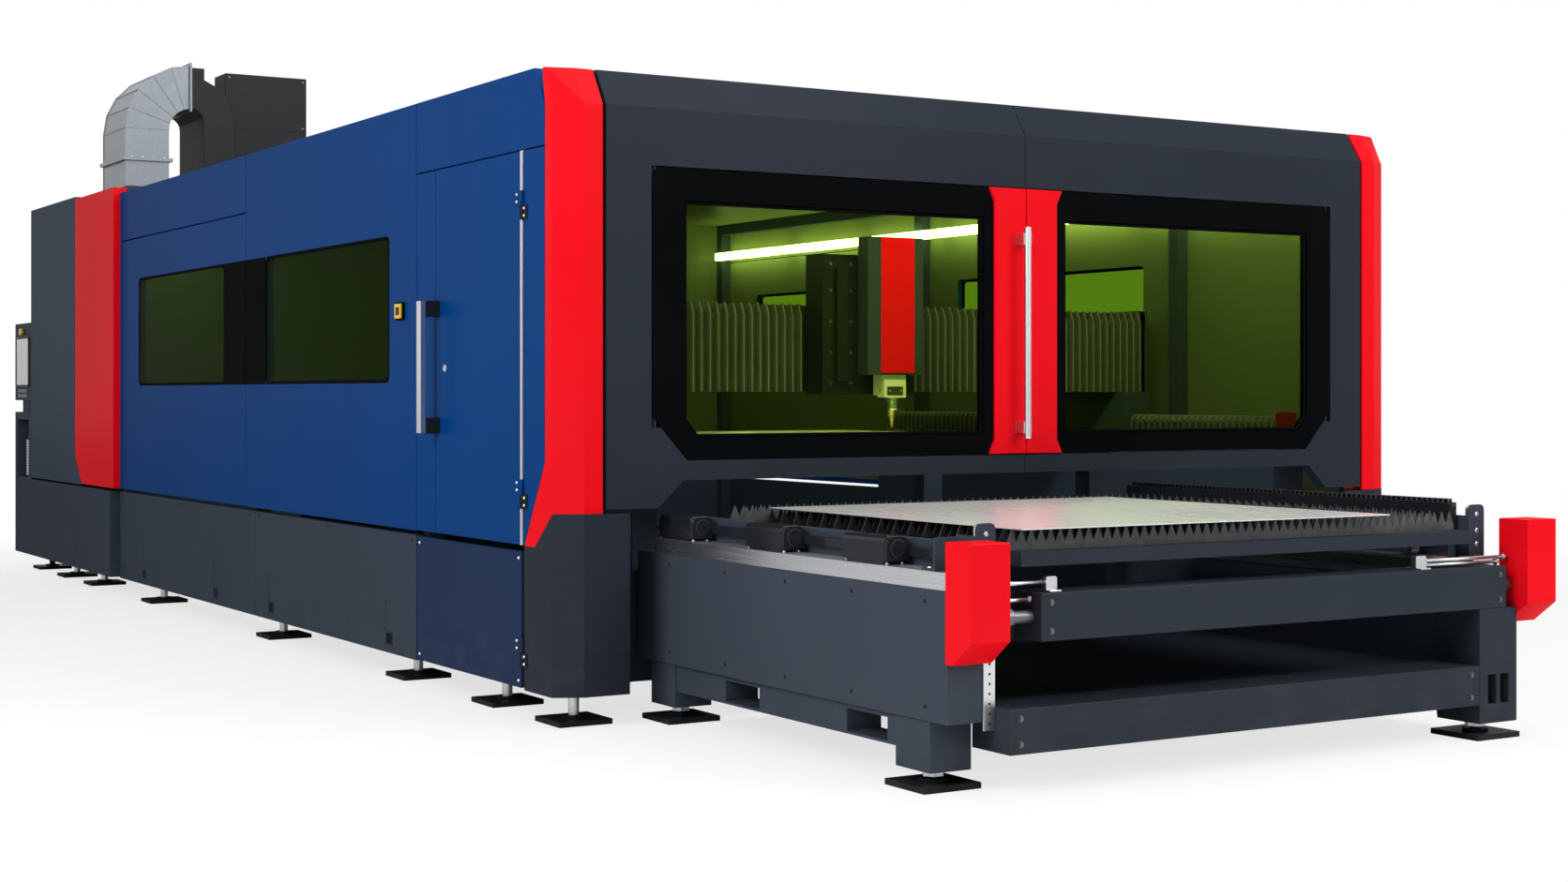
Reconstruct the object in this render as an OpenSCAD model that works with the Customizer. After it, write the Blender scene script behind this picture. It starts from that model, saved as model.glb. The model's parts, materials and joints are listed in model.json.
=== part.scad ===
// Fiber laser cutting machine: a closed cutting cabin with a gantry inside
// and a two-level pallet exchange table in front. Millimetres, +Z up,
// +X across the front, +Y from the front wall towards the back.

/* [Cabin] */
// Width between the outer faces of the side walls
cabin_w = 4312; // [4200:2:4600]
// Length from the front wall to the rear section
cabin_len = 6220; // [6000:10:6600]
// Height of the roof above the floor
cabin_h = 2475; // [2400:5:2700]
// Thickness of the wall panels
wall_t = 46; // [30:1:50]
// Gap between neighbouring panels
seam = 6; // [3:1:10]
// Clear height under the base
floor_gap = 120; // [90:5:150]
// Top of the kick panels
kick_top = 650; // [620:5:680]
// Height of the dark joint between kick panels and wall panels
kick_joint = 18; // [10:1:30]

/* [Side wall] */
// Service door leaf, distance of its hinge edge from the front
door_y = 327; // [320:1:360]
// Service door leaf, length along the wall
door_len = 848; // [760:2:900]
// Top of the service door
door_top = 2172; // [2050:2:2200]
// Seam between the door surround and the first wall panel
jamb_y = 1390; // [1350:5:1500]
// Seam between the two wall panels
mid_y = 3725; // [3600:5:3900]
// Side window, distance of its front edge from the front wall
win_y = 1707; // [1600:1:1800]
// Side window, overall length
win_len = 4081; // [3900:1:4200]
// Side window, lower edge above the floor
win_z = 1295; // [1200:5:1400]
// Side window, height
win_h = 638; // [500:2:750]
// Width of the black centre bar of the side window
win_bar = 688; // [500:2:800]

/* [Front wall] */
// Width of a front corner post
post_w = 184; // [160:2:220]
// Corner post facet, size across the front
facet_x = 106; // [80:1:120]
// Corner post facet, size along the side
facet_y = 54; // [40:1:70]
// Depth of the corner post along the side
post_d = 117; // [100:1:140]
// Lower end of the corner post on the front
post_z = 800; // [760:5:810]
// Black joint between corner post and front frame
post_joint = 14; // [8:1:20]
// Depth of the front frame
frame_t = 60; // [56:1:80]
// Depth of the box header over the doors
header_d = 150; // [130:5:180]
// Horizontal run of the sloped top edge
slope_run = 87; // [60:1:110]
// Rise of the sloped top edge
slope_rise = 138; // [100:2:170]
// Lower edge of the front bar above the pallet slot
slot_top = 918; // [900:1:925]
// Width of the front frame beside a door
frame_side = 189; // [178:1:258]
// Door opening, lower edge
opening_z = 993; // [985:1:1010]
// Door opening, upper edge
opening_top = 2111; // [2080:1:2130]
// Front door window, distance of its edges from the door's outer and free edge
glass_side = 144; // [120:1:170]
// Width of the red stile on the free edge of a front door
stile_w = 163; // [140:1:190]
// Thickness of a front door leaf
leaf_t = 46; // [40:1:50]
// Running gap around a front door leaf
leaf_gap = 5; // [5:0.5:8]

/* [Rear section] */
// Length of the red rear section
accent_len = 970; // [800:10:1100]
// Length of the rear cabinet
cabinet_len = 1270; // [1100:10:1500]
// How far the rear section stands proud of the side walls
rear_proud = 39; // [20:1:60]
// Height of the rear section
rear_h = 2525; // [2500:5:2750]
// Length of the operator console behind the cabinet
console_len = 500; // [450:10:600]
// Depth of the operator console across the machine
console_d = 420; // [350:10:600]

/* [Exhaust duct] */
// Width of the duct, seen from the front
duct_w = 295; // [260:5:330]
// Depth of the duct
duct_depth = 600; // [520:10:610]
// Inner bend radius of the galvanised elbow
duct_bend = 155; // [120:5:200]
// Height of the straight riser above the cabinet
riser_h = 550; // [450:5:560]

/* [Gantry] */
// Distance of a longitudinal rail from the outer face of its side wall
rail_inset = 356; // [346:1:376]
// Top of the bed beams
bed_top = 1000; // [980:2:1030]
// Length of the longitudinal rails
rail_len = 3270; // [3200:10:3400]
// Front face of the gantry bellows at rest
gantry_y = 1440; // [1380:5:1500]
// Lower edge of the gantry beam
beam_z = 1257; // [1240:1:1280]
// Height of the gantry beam
beam_h = 408; // [380:2:440]
// Depth of the gantry beam
beam_d = 370; // [330:5:420]
// Centre of the cutting head from the machine's middle at rest
head_x = 164; // [100:2:220]
// Width of the head cover
cover_w = 314; // [290:2:330]
// Height of the head cover
cover_h = 648; // [600:2:680]
// Height of the nozzle tip above the floor
tip_z = 1090; // [1085:1:1100]
// Fold length of the bellows
fold = 45; // [35:1:60]

/* [Exchange table] */
// Left outer face of the table, distance from the cabin's left face
table_inset = 456; // [446:1:466]
// Width of the table between its outer side faces
table_w = 2480; // [2470:2:2500]
// Length of the table in front of the front wall
table_len = 1817; // [1790:1:1850]
// Width of the left side beam
side_w = 179; // [170:1:185]
// Top of the side beams
side_top = 640; // [630:1:645]
// Lower edge of the side beams
side_z = 225; // [210:1:240]
// Width of a red end cover
end_cover_w = 152; // [130:1:170]
// Height of the drive beam
drive_h = 151; // [130:1:160]

/* [Pallet] */
// Width of a pallet
pallet_w = 2030; // [2010:2:2040]
// Height of the pallet rails
pallet_rail_h = 47; // [40:1:52]
// Diameter of the pallet wheels
wheel_d = 56; // [50:1:60]
// Distance between slats
slat_pitch = 92; // [80:1:110]
// Length of one slat tooth
tooth = 39; // [32:1:45]
// Height of the slats above the pallet rails
slat_h = 67; // [60:1:70]
// Thickness of the metal sheets
sheet_t = 3; // [2:0.5:6]
// Lift between the two pallet levels
lift = 247; // [244:1:250]

/* [Hidden] */
$fn = 48;

// Colours of the paint and metal
blue = "#173f7a";
dark_blue = "#2b3658";
gray = "#3a424d";
red = "#e8101c";
black = "#14171b";
steel = "#b8bcc0";
zinc = "#9aa3ab";
green_glass = "#2f4a1c";

// Running clearances: between sliding faces, and of a pin in its bore
slide_gap = 0.3;
pin_gap = 0.05;
// Joint line between bolted beams
bolted = 0.3;

// Main planes of the cabin
half_w = cabin_w / 2;
inner_x = half_w - wall_t;
panel_z = kick_top + kick_joint;
rear_half = half_w + rear_proud;
accent_end = cabin_len + accent_len;
rear_end = accent_end + cabinet_len;

// Base: outer sill beams, inner bed beams and cross members
sill_w = 220;
sill_h = 200;
sill_top = floor_gap + sill_h;
sill_in = inner_x - sill_w;
bed_w = 190;
bed_in = sill_in - bed_w;
corner_len = 300;
bed_end = corner_len + rail_len + 80;
cross_w = 120;
cross_z = [floor_gap + 10, sill_top + 10];
foot_x = inner_x - sill_w / 2 - 3;

// Cabin frame tubes
tube = 70;
frame_top = cabin_h - 35;
light_z = [frame_top - 250, frame_top - 200];
tube_x = [inner_x - tube, inner_x];

// Front wall
post_in = half_w - post_w;
frame_out = post_in - post_joint;
opening_half = frame_out - frame_side;
slope_top = cabin_h - 7;
slope_z = slope_top - slope_rise;
frame_y = slope_run + post_d + 6;
tail_top = panel_z + 322;
tail_foot = post_d + 91;
post_tail = [[post_d, tail_top], [corner_len, panel_z], [tail_foot, panel_z], [facet_y, post_z]];
foot_edge = post_z + 15;
split = 1.5;
opening_cut = [155, 172];
opening_r = 50;
leaf_y = 4;
pivot_r = 8;
pivot_edge = 15;
pivot_x = opening_half - leaf_gap - pivot_edge;
pivot_y = leaf_y + 12;
pivot_clear = norm([pivot_edge + leaf_gap, pivot_y]) - 1.5;
glass_z = [opening_z + 87, opening_top - 126];
glass_cut = [55, 68];
stile_t = 14;
handle_stand = 60;
handle_r = 15;
handle_x = 40;
handle_z = [opening_z + 70, opening_top - 174];

// Side wall
hinge_out = 4;
hinge_r = 9;
hinge_pin_r = 5;
hinge_y = door_y - 13;
door_t = wall_t - 6;
access_t = 30;
bar_y = [win_y + (win_len - win_bar) / 2, win_y + (win_len + win_bar) / 2];
win_r = 30;
side_bar = [26, 42, 544];
side_stand = 62;
side_bar_z = 1085;
button_at = [jamb_y + 173, 1602];
button_size = [70, 62];

// Rear section
accent_cut = 178;
console_x = -rear_half;
console_z = [1117, 1200, 1744];
niche = [[rear_end + 70, rear_end + console_len - 70], [660, 1064], 150];
stop_at = [rear_end + console_len / 2, console_z[2] - 60];
duct_y = [accent_end + 630, accent_end + 630 + duct_depth];
duct_inset = 451;
duct_joint = 225;
duct_x = duct_inset - half_w;
duct_top = rear_h + riser_h;
duct_cx = duct_x + duct_w + duct_bend;
return_bend = 88;

// Gantry
rail_x = half_w - rail_inset;
rail_w = 50;
rail_h = 35;
rail_y = corner_len + 30;
truck_w = 170;
truck_len = 520;
truck_y = gantry_y - 50;
truck_z = bed_top + rail_h + 5;
beam_half = rail_x + truck_w / 2;
beam_y = gantry_y + 50;
end_plate = 15;
xrail = [28, 20];
xrail_z = [beam_z + 70, beam_z + beam_h - 90];
carriage_x = [head_x - 354, head_x + 166];
carriage_y = [gantry_y - 150, gantry_y];
carriage_z = [beam_z - 12, beam_z + beam_h + 235];
cover_d = 100;
cover_z = carriage_z[1] + 83 - cover_h;
cover_t = 14;
head_y = carriage_y[0] - 55;

// Exchange table
table_left = table_inset - half_w;
table_y = -table_len;
front_y = table_y - 83;
cover_y = table_y - 133;
plate_y = [table_y + 57, table_y + 117];
table_in = 245;
table_right = table_left + table_w;
side_in = table_left + side_w;
track_z = side_top + 10;
leg_z = 60;
drive_z = side_top - 15 - drive_h;
shaft_y = table_y - 33;
shaft_z = drive_z + drive_h / 2;
shaft_r = 22;
drive_x = [side_in + 122, table_right - 56];
lower_z = [leg_z + 68, leg_z + 211];
right_post = 195;
tray_z = [side_z + 15, side_z + 27];
tray_end = -40;
cover_in = table_left - 9 + end_cover_w;

// Pallets
rail_wide = 50;
pallet_x = [side_in + 81, side_in + 81 + pallet_w];
right_in = pallet_x[1] + 50;
pallet_out_y = table_y - 33;
pallet_end = 50;
pallet_len = pallet_end - pallet_out_y;
pallet_in_y = pallet_out_y + pallet_len + 110;
wheel_at = 260;
axle_r = 8;
lug = [45, 120, 20];
lug_at = 300;
lug_z = wheel_d + 14;
slat_t = 3;
column = [110, 100];
column_gap = 90;
sheet_size = [1620, 1545];

// Place of the whole machine: the middle of its bounding box over the floor
reach_left = half_w + side_stand + side_bar[0];
shift = [(reach_left - rear_half) / 2, -(cover_y + rear_end + console_len) / 2, 0];

// Helpers
module place() translate(shift) children();
module block(x, y, z) translate([x[0], y[0], z[0]]) cube([x[1] - x[0], y[1] - y[0], z[1] - z[0]]);
module along_x(x) translate([x[0], 0, 0]) rotate([90, 0, 90]) linear_extrude(x[1] - x[0]) children();
module along_y(y) translate([0, y[1], 0]) rotate([90, 0, 0]) linear_extrude(y[1] - y[0]) children();
module along_z(z) translate([0, 0, z[0]]) linear_extrude(z[1] - z[0]) children();
module both() {
    children();
    mirror([1, 0, 0]) children();
}
module round_rect(a, b, r) {
    translate([a[0] + r, a[1]]) square([b[0] - a[0] - 2 * r, b[1] - a[1]]);
    translate([a[0], a[1] + r]) square([b[0] - a[0], b[1] - a[1] - 2 * r]);
    for (x = [a[0] + r, b[0] - r], y = [a[1] + r, b[1] - r]) translate([x, y]) circle(r);
}

// Base and cabin frame

module bed_frame() color(gray) {
    both() block([sill_in, inner_x], [corner_len, rear_end], [floor_gap, sill_top]);
    both() block([bed_in, sill_in - bolted], [corner_len, bed_end], [floor_gap, bed_top]);
    for (y = [pallet_in_y + lug_at, pallet_in_y + pallet_len - lug_at, bed_end - cross_w])
        block([bolted - bed_in, bed_in - bolted], [y - cross_w / 2, y + cross_w / 2], cross_z);
    block([bolted - bed_in, bed_in - bolted], [corner_len + 10, corner_len + 40], [floor_gap, track_z - 95]);
    for (y = [cabin_len - 1400, cabin_len - 300, rear_end - 200])
        block([bolted - sill_in, sill_in - bolted], [y - cross_w / 2, y + cross_w / 2],
            [cross_z[0], sill_top]);
    for (y = [pallet_in_y + lug_at, pallet_in_y + pallet_len - lug_at]) {
        lift_column([pallet_x[0] - column_gap - column[0], pallet_x[0] - column_gap], y);
        lift_column([pallet_x[1] + column_gap, pallet_x[1] + column_gap + column[0]], y);
    }
}

module lift_column(x, y)
    block(x, [y - column[1] / 2, y + column[1] / 2], [cross_z[1] + bolted, track_z + lift + 163]);

module foot(h, anchor) difference() {
    union() {
        block([-110, 110], [-110, 110], [0, 20]);
        cylinder(r = 46, h = 30);
        cylinder(r = 20, h = h);
        translate([0, 0, h - 24]) cylinder(r = 36, h = 24, $fn = 6);
    }
    if (anchor) translate([-80, 0, -1]) cylinder(r = 11, h = 22);
}

foot_rows = [200, 811, 1765, 3600, cabin_len - 410, accent_end + 30, accent_end + 770];
module leveling_feet() color(black) {
    for (i = [0 : len(foot_rows) - 1])
        both() translate([-foot_x, foot_rows[i], 0]) foot(floor_gap, i == 0 || i == len(foot_rows) - 1);
    translate([console_x + console_d / 2, rear_end + console_len / 2 + 30, 0]) foot(floor_gap, false);
    for (y = [table_y + 202, 55]) translate([table_left + 88, y, 0]) foot(leg_z, false);
    translate([table_right - 95, front_y + 110, 0]) foot(leg_z, false);
    translate([(right_in + table_right) / 2, 55, 0]) foot(leg_z, false);
}

module cabin_frame() color(gray) {
    both() {
        block(tube_x, [frame_y, frame_y + tube], [panel_z, frame_top - tube - bolted]);
        for (y = [jamb_y - tube / 2, mid_y - tube / 2, cabin_len - tube])
            block(tube_x, [y, y + tube], [sill_top, frame_top - tube - bolted]);
        block(tube_x, [frame_y, cabin_len], [frame_top - tube, frame_top]);
    }
    block([-frame_out, frame_out], [header_d, header_d + tube], [frame_top - tube, frame_top]);
}

module roof() color(gray) along_z([frame_top, cabin_h]) polygon([
    [-frame_out, header_d], [frame_out, header_d], [frame_out, frame_y], [inner_x, frame_y],
    [inner_x, cabin_len], [-inner_x, cabin_len], [-inner_x, frame_y], [-frame_out, frame_y]
]);

// Lower panels

pull = [90, 200, 66];
pull_z = 145;
pull_inset = [317, 254, 674, 554];
module finger_pull(y) {
    block([-half_w - 1, -half_w + 3], [y - pull[0] / 2, y + pull[0] / 2], [pull_z, pull_z + pull[1]]);
    block([-half_w - 1, -half_w + 30], [y - pull[0] / 2 + 8, y + pull[0] / 2 - 8],
        [pull_z + 6, pull_z + pull[2]]);
}

kick_y = [jamb_y + seam / 2, mid_y - 151, cabin_len - seam / 2];
module kick_side() {
    difference() {
        block([-half_w, -inner_x], [kick_y[0], kick_y[1] - seam / 2], [floor_gap, kick_top]);
        finger_pull(kick_y[0] + pull_inset[0]);
        finger_pull(kick_y[1] - pull_inset[1]);
    }
    difference() {
        block([-half_w, -inner_x], [kick_y[1] + seam / 2, kick_y[2]], [floor_gap, kick_top]);
        finger_pull(kick_y[1] + pull_inset[2]);
        finger_pull(kick_y[2] - pull_inset[3]);
    }
    block([-rear_half, -inner_x], [cabin_len + 80, accent_end - seam / 2], [floor_gap, kick_top]);
    block([-rear_half, -inner_x], [accent_end + seam / 2, rear_end], [floor_gap, kick_top]);
}

module kick_panels() color(gray) {
    both() kick_side();
    block([inner_x, half_w], [corner_len + seam, kick_y[0] - seam], [floor_gap, kick_top]);
}

// Front corners

module corner_plan(y) polygon([
    [-half_w, facet_y], [facet_x - half_w, 0], [-post_in, 0], [-post_in, y], [-half_w, y]
]);

module corner_base() difference() {
    union() {
        along_z([floor_gap, panel_z]) corner_plan(corner_len);
        along_z([panel_z, post_z]) corner_plan(post_d);
        along_x([-half_w, -inner_x]) polygon([[post_d, panel_z], [tail_foot, panel_z], [post_d, post_z]]);
    }
    along_x([-half_w - 1, -inner_x]) polygon(post_tail);
}
module corner_bases() color(gray) {
    both() corner_base();
    both() block([-post_in, -post_in + 113], [0, 40], [floor_gap, post_z - 2]);
}

module corner_post() {
    along_z([post_z, slope_z]) corner_plan(post_d);
    hull() {
        along_z([slope_z, slope_z + 0.01]) corner_plan(post_d);
        translate([0, slope_run, 0]) along_z([slope_top - 0.01, slope_top])
            corner_plan(post_d - slope_run + 2);
    }
    along_x([-half_w, -inner_x]) polygon(post_tail);
}
module corner_posts() color(red) both() corner_post();

// Front frame and doors, drawn for the left half

module opening_shape(g) {
    k = opening_cut;
    l = norm(k);
    polygon([
        [-opening_half + g, opening_z + k[1] + g * (l - k[1]) / k[0]],
        [-opening_half + k[0] + g * (l - k[0]) / k[1], opening_z + g],
        [-g / 2, opening_z + g], [-g / 2, opening_top - g],
        [-opening_half + opening_r, opening_top - g], [-opening_half + g, opening_top - opening_r]
    ]);
    translate([-opening_half + opening_r, opening_top - opening_r]) circle(opening_r - g);
}

module pivots(r, low, high) for (z = [low, high])
    translate([-pivot_x, pivot_y, z[0]]) cylinder(r = r, h = z[1] - z[0]);
pivot_low = opening_z + opening_cut[1] * (1 - (leaf_gap + pivot_edge) / opening_cut[0]);

module front_frame() {
    difference() {
        along_y([0, frame_t]) difference() {
            polygon([
                [-frame_out, foot_edge], [-opening_half + 29, foot_edge],
                [-opening_half + 137, slot_top], [-split, slot_top], [-split, opening_top + 1],
                [-frame_out, opening_top + 1]
            ]);
            opening_shape(0);
        }
        pivots(pivot_clear, [pivot_low - 24, pivot_low + 45], [opening_top - 60, opening_top]);
    }
    along_x([-frame_out, -split]) polygon([
        [0, opening_top], [0, slope_z], [slope_run, slope_top], [header_d, slope_top],
        [header_d, opening_top]
    ]);
    pivots(pivot_r, [pivot_low - 60, pivot_low + 42], [opening_top - 50, opening_top + 5]);
}
module front_frames() color(gray) both() front_frame();

module glass_shape(g) {
    x = [-opening_half + glass_side + g, -stile_w - 48 - g];
    polygon([
        [x[0], glass_z[0] + glass_cut[1]], [x[0] + glass_cut[0], glass_z[0] + g], [x[1], glass_z[0] + g],
        [x[1], glass_z[1] - g], [x[0], glass_z[1] - g]
    ]);
}
module front_leaf() difference() {
    along_y([leaf_y, leaf_y + leaf_t]) difference() {
        opening_shape(leaf_gap);
        glass_shape(0);
    }
    pivots(pivot_r + pin_gap, [pivot_low - 80, pivot_low + 47], [opening_top - 55, opening_top]);
}
module front_pane() along_y([leaf_y + 14, leaf_y + 24]) glass_shape(slide_gap);
module front_stile() along_y([leaf_y - stile_t, leaf_y]) polygon([
    [-stile_w, opening_z + leaf_gap + 30], [-stile_w + 30, opening_z + leaf_gap],
    [-leaf_gap / 2, opening_z + leaf_gap], [-leaf_gap / 2, opening_top - leaf_gap],
    [-stile_w + 30, opening_top - leaf_gap], [-stile_w, opening_top - leaf_gap - 30]
]);
module front_door_left() color(black) front_leaf();
module front_door_right() color(black) mirror([1, 0, 0]) front_leaf();
module front_glass_left() color(green_glass) front_pane();
module front_glass_right() color(green_glass) mirror([1, 0, 0]) front_pane();
module front_stile_left() color(red) front_stile();
module front_stile_right() color(red) mirror([1, 0, 0]) front_stile();
module front_handle() color(steel) {
    y = leaf_y - stile_t;
    translate([-handle_x, y - handle_stand, handle_z[0]])
        cylinder(r = handle_r, h = handle_z[1] - handle_z[0]);
    for (z = [handle_z[0] + 45, handle_z[1] - 45])
        block([-handle_x - 20, -handle_x + 20], [y - handle_stand, y], [z - 24, z + 24]);
}

// Side walls

module tail_gap() along_x([-half_w - 1, -inner_x + 1]) translate([0, seam / 2]) polygon([
    [0, panel_z - seam], [corner_len, panel_z - seam], [corner_len, panel_z],
    [post_d, tail_top], [0, tail_top]
]);
module wall_front_edge(y, z) along_x([-half_w, -inner_x]) polygon([
    [post_d + seam / 2, z[0]], [y, z[0]], [y, z[1]], [frame_y, z[1]],
    [post_d + seam / 2 + slope_run * (slope_top - slope_z) / slope_rise, slope_top],
    [post_d + seam / 2, slope_z]
]);

module door_surround() color(blue) {
    difference() {
        block([-half_w, -inner_x], [post_d + seam / 2, hinge_y - hinge_r - 2], [panel_z + 4, door_top]);
        tail_gap();
    }
    wall_front_edge(jamb_y - seam / 2, [door_top + seam, cabin_h]);
    block([-half_w, -inner_x], [door_y + door_len + seam, jamb_y - seam / 2], [panel_z + 4, door_top]);
}

module window_cut(y, r) along_x([-half_w - 1, -inner_x + 1])
    round_rect([y[0], win_z], [y[1], win_z + win_h], r);
module wall_front() difference() {
    block([-half_w, -inner_x], [jamb_y + seam / 2, mid_y - seam / 2], [panel_z, cabin_h]);
    window_cut([win_y, bar_y[0]], win_r);
}
module wall_rear() {
    difference() {
        block([-half_w, -inner_x], [mid_y + seam / 2, cabin_len - seam / 2], [panel_z, door_top]);
        window_cut([bar_y[1], win_y + win_len], win_r);
    }
    block([-half_w, -inner_x], [mid_y + seam / 2, cabin_len - seam / 2], [door_top + seam, cabin_h]);
}
module wall_panels_left() color(blue) {
    wall_front();
    wall_rear();
}
module wall_panels_right() color(blue) mirror([1, 0, 0]) {
    wall_front();
    wall_rear();
    difference() {
        wall_front_edge(jamb_y - seam / 2, [panel_z + 4, cabin_h]);
        tail_gap();
    }
}

module pane(y) along_x([-half_w + 2, -half_w + 12])
    round_rect([y[0] + slide_gap, win_z + slide_gap], [y[1] - slide_gap, win_z + win_h - slide_gap], win_r);
module side_windows() color(green_glass) both() {
    pane([win_y, bar_y[0]]);
    pane([bar_y[1], win_y + win_len]);
}

module black_trim() color(black) {
    both() {
        block([-half_w - 2, -half_w], [bar_y[0], mid_y - seam / 2], [win_z, win_z + win_h]);
        block([-half_w - 2, -half_w], [mid_y + seam / 2, bar_y[1]], [win_z, win_z + win_h]);
        block([-post_in, -frame_out], [20, frame_t], [foot_edge, slope_z]);
    }
    along_x([-half_w - 12, -half_w]) difference() {
        translate(button_at) square(button_size + [14, 14], center = true);
        translate(button_at) square(button_size + [1, 1], center = true);
    }
}

module door_button() color("gold") along_x([-half_w - 18, -half_w - 6])
    translate(button_at) square(button_size, center = true);

// Hinges: the fixed half has the pin, the moving half turns on it

module hinge_at(z) translate([-half_w - hinge_out, hinge_y, z]) children();
module hinge_fixed(h) {
    cylinder(r = hinge_r, h = h / 2 - slide_gap);
    cylinder(r = hinge_pin_r, h = h);
    block([0, hinge_out], [-45, 0], [0, h / 2 - slide_gap]);
}
module hinge_moving(h) difference() {
    union() {
        translate([0, 0, h / 2]) cylinder(r = hinge_r, h = h / 2);
        block([0, hinge_out], [0, 55], [h / 2, h]);
    }
    translate([0, 0, -1]) cylinder(r = hinge_pin_r + pin_gap, h = h + 2);
}
hinge_h = 112;
door_hinges = [810, 1910];
access_hinge = 207;
module hinges() color(black) {
    for (z = concat(door_hinges, access_hinge)) hinge_at(z) hinge_fixed(hinge_h);
}

module side_door() color(blue) {
    block([-half_w, -half_w + door_t], [door_y, door_y + door_len], [panel_z + 4, door_top]);
    for (z = door_hinges) hinge_at(z) hinge_moving(hinge_h);
}
module side_handle() color(steel) {
    y = door_y + door_len - 45;
    x = -half_w - side_stand;
    block([x - side_bar[0], x], [y, y + side_bar[1]], [side_bar_z, side_bar_z + side_bar[2]]);
    for (z = [side_bar_z, side_bar_z + side_bar[2] - 60])
        block([x, -half_w], [y + 6, y + side_bar[1] - 6], [z, z + 60]);
}
module access_door() color(dark_blue) {
    block([-half_w, -half_w + access_t], [door_y, jamb_y - seam / 2 - seam],
        [floor_gap + seam, kick_top - 4]);
    hinge_at(access_hinge) hinge_moving(hinge_h);
}

// Rear section

module rear_accents() color(red) both() along_x([-rear_half, -inner_x]) polygon([
    [cabin_len + seam, panel_z], [accent_end - accent_cut, panel_z],
    [accent_end - seam / 2, panel_z + accent_cut], [accent_end - seam / 2, rear_h - 15],
    [cabin_len + seam, rear_h - 15]
]);

module rear_cabinet() color(gray) {
    block([-inner_x, inner_x], [cabin_len, rear_end], [sill_top, rear_h]);
    both() along_x([-rear_half, -inner_x]) polygon([
        [accent_end - accent_cut + seam, panel_z - seam], [rear_end, panel_z - seam], [rear_end, rear_h],
        [accent_end + seam / 2, rear_h], [accent_end + seam / 2, panel_z + accent_cut]
    ]);
}

function arc(c, r, from, to, n) = [for (i = [0 : n])
    let (a = from + (to - from) * i / n) c + r * [cos(a), sin(a)]];

module exhaust_duct() color(zinc) {
    x = [duct_x, duct_x + duct_w];
    block(x, duct_y, [rear_h, duct_top]);
    for (z = [rear_h, duct_top - duct_joint])
        block(x + [-22, 22], duct_y + [-22, 22], [z, z + 24]);
    c = [duct_cx, duct_top];
    along_y(duct_y) polygon(concat(
        arc(c, duct_bend + duct_w, 180, 90, 5), arc(c, duct_bend, 90, 180, 5)));
    block([duct_cx - 14, duct_cx], duct_y + [-22, 22],
        [duct_top + duct_bend - 22, duct_top + duct_bend + duct_w + 22]);
}

return_w = 220;
fan_x = [duct_cx + 349, duct_cx + 949];
fan_y = [duct_y[0] + 355, rear_end - 20];
module exhaust_fan() color(black) {
    z = duct_top + duct_bend - return_bend;
    along_y(duct_y) polygon(concat(
        arc([duct_cx, z], return_bend + return_w, 90, 0, 5), [[duct_cx + return_bend + return_w, rear_h]],
        [[duct_cx + return_bend, rear_h]], arc([duct_cx, z], return_bend, 0, 90, 5)));
    block([duct_cx, duct_cx + 110], duct_y + [60, -60],
        [z + return_bend + return_w - 90, duct_top + duct_bend + duct_w]);
    block(fan_x, fan_y, [rear_h, rear_h + 1025]);
}

module console() color(gray) {
    x = [console_x, console_x + console_d];
    y = [rear_end, rear_end + console_len];
    difference() {
        union() {
            block(x, y, [floor_gap, console_z[0]]);
            block(x + [40, 0], y + [0, -60], [console_z[0], console_z[1]]);
            block(x, y, [console_z[1], console_z[2]]);
        }
        block([console_x - 1, console_x + niche[2]], niche[0], niche[1]);
        translate([console_x - 1, stop_at[0], stop_at[1]]) rotate([0, 90, 0])
            cylinder(r = 12 + pin_gap, h = 31);
    }
}
module console_screen() color("#5d6b66") block([console_x - 6, console_x],
    [rear_end + 60, rear_end + console_len - 60], [console_z[1] + 110, console_z[2] - 110]);
module stop_button() color("gold") translate([console_x, stop_at[0], stop_at[1]]) rotate([0, -90, 0]) {
    translate([0, 0, -22]) cylinder(r = 12, h = 30);
    translate([0, 0, 8]) cylinder(r = 24, h = 16);
}
coil_r = 52;
hose_r = 10;
module hose_coil() color("white") translate([console_x + 70, niche[0][0] + 110, niche[1][0]])
    rotate_extrude() for (i = [0 : 15])
        translate([coil_r, hose_r + i * 1.8 * hose_r]) circle(hose_r, $fn = 24);

// Rails, rail guards and lights

guard_h = 100;
guard_w = 130;
stop_t = 12;
rail_end = rail_y + rail_len;
truck_end = truck_y + truck_len;
module rails() color(steel) both() {
    block([-rail_x - rail_w / 2, -rail_x + rail_w / 2], [rail_y, rail_end], [bed_top, bed_top + rail_h]);
    block([-sill_in + 10, -sill_in + 37], [rail_y, rail_end], [bed_top, bed_top + rail_h - 5]);
    for (y = [rail_y - stop_t, rail_end])
        block([-rail_x - guard_w / 2, -rail_x + guard_w / 2], [y, y + stop_t],
            [bed_top, truck_z + guard_h + 20]);
}

function folds(a, b, low, high, pitch) = let (n = max(2, round((b - a) / pitch)))
    [for (i = [0 : 2 * n]) [a + (b - a) * i / (2 * n), i % 2 == 0 ? low : high]];

module guard(y) along_x([-rail_x - guard_w / 2 + 5, -rail_x + guard_w / 2 - 5])
    polygon(concat([[y[1], truck_z], [y[0], truck_z]],
        folds(y[0], y[1], truck_z + guard_h - 22, truck_z + guard_h, fold)));
module rail_guards() color(black) both() {
    guard([rail_y, truck_y]);
    guard([truck_end, rail_end]);
}

module light_strips() color("white") both()
    block([-tube_x[0], -tube_x[0] + 40], [frame_y + tube, cabin_len - 40], light_z);

// Gantry, carriage and cutting head

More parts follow.
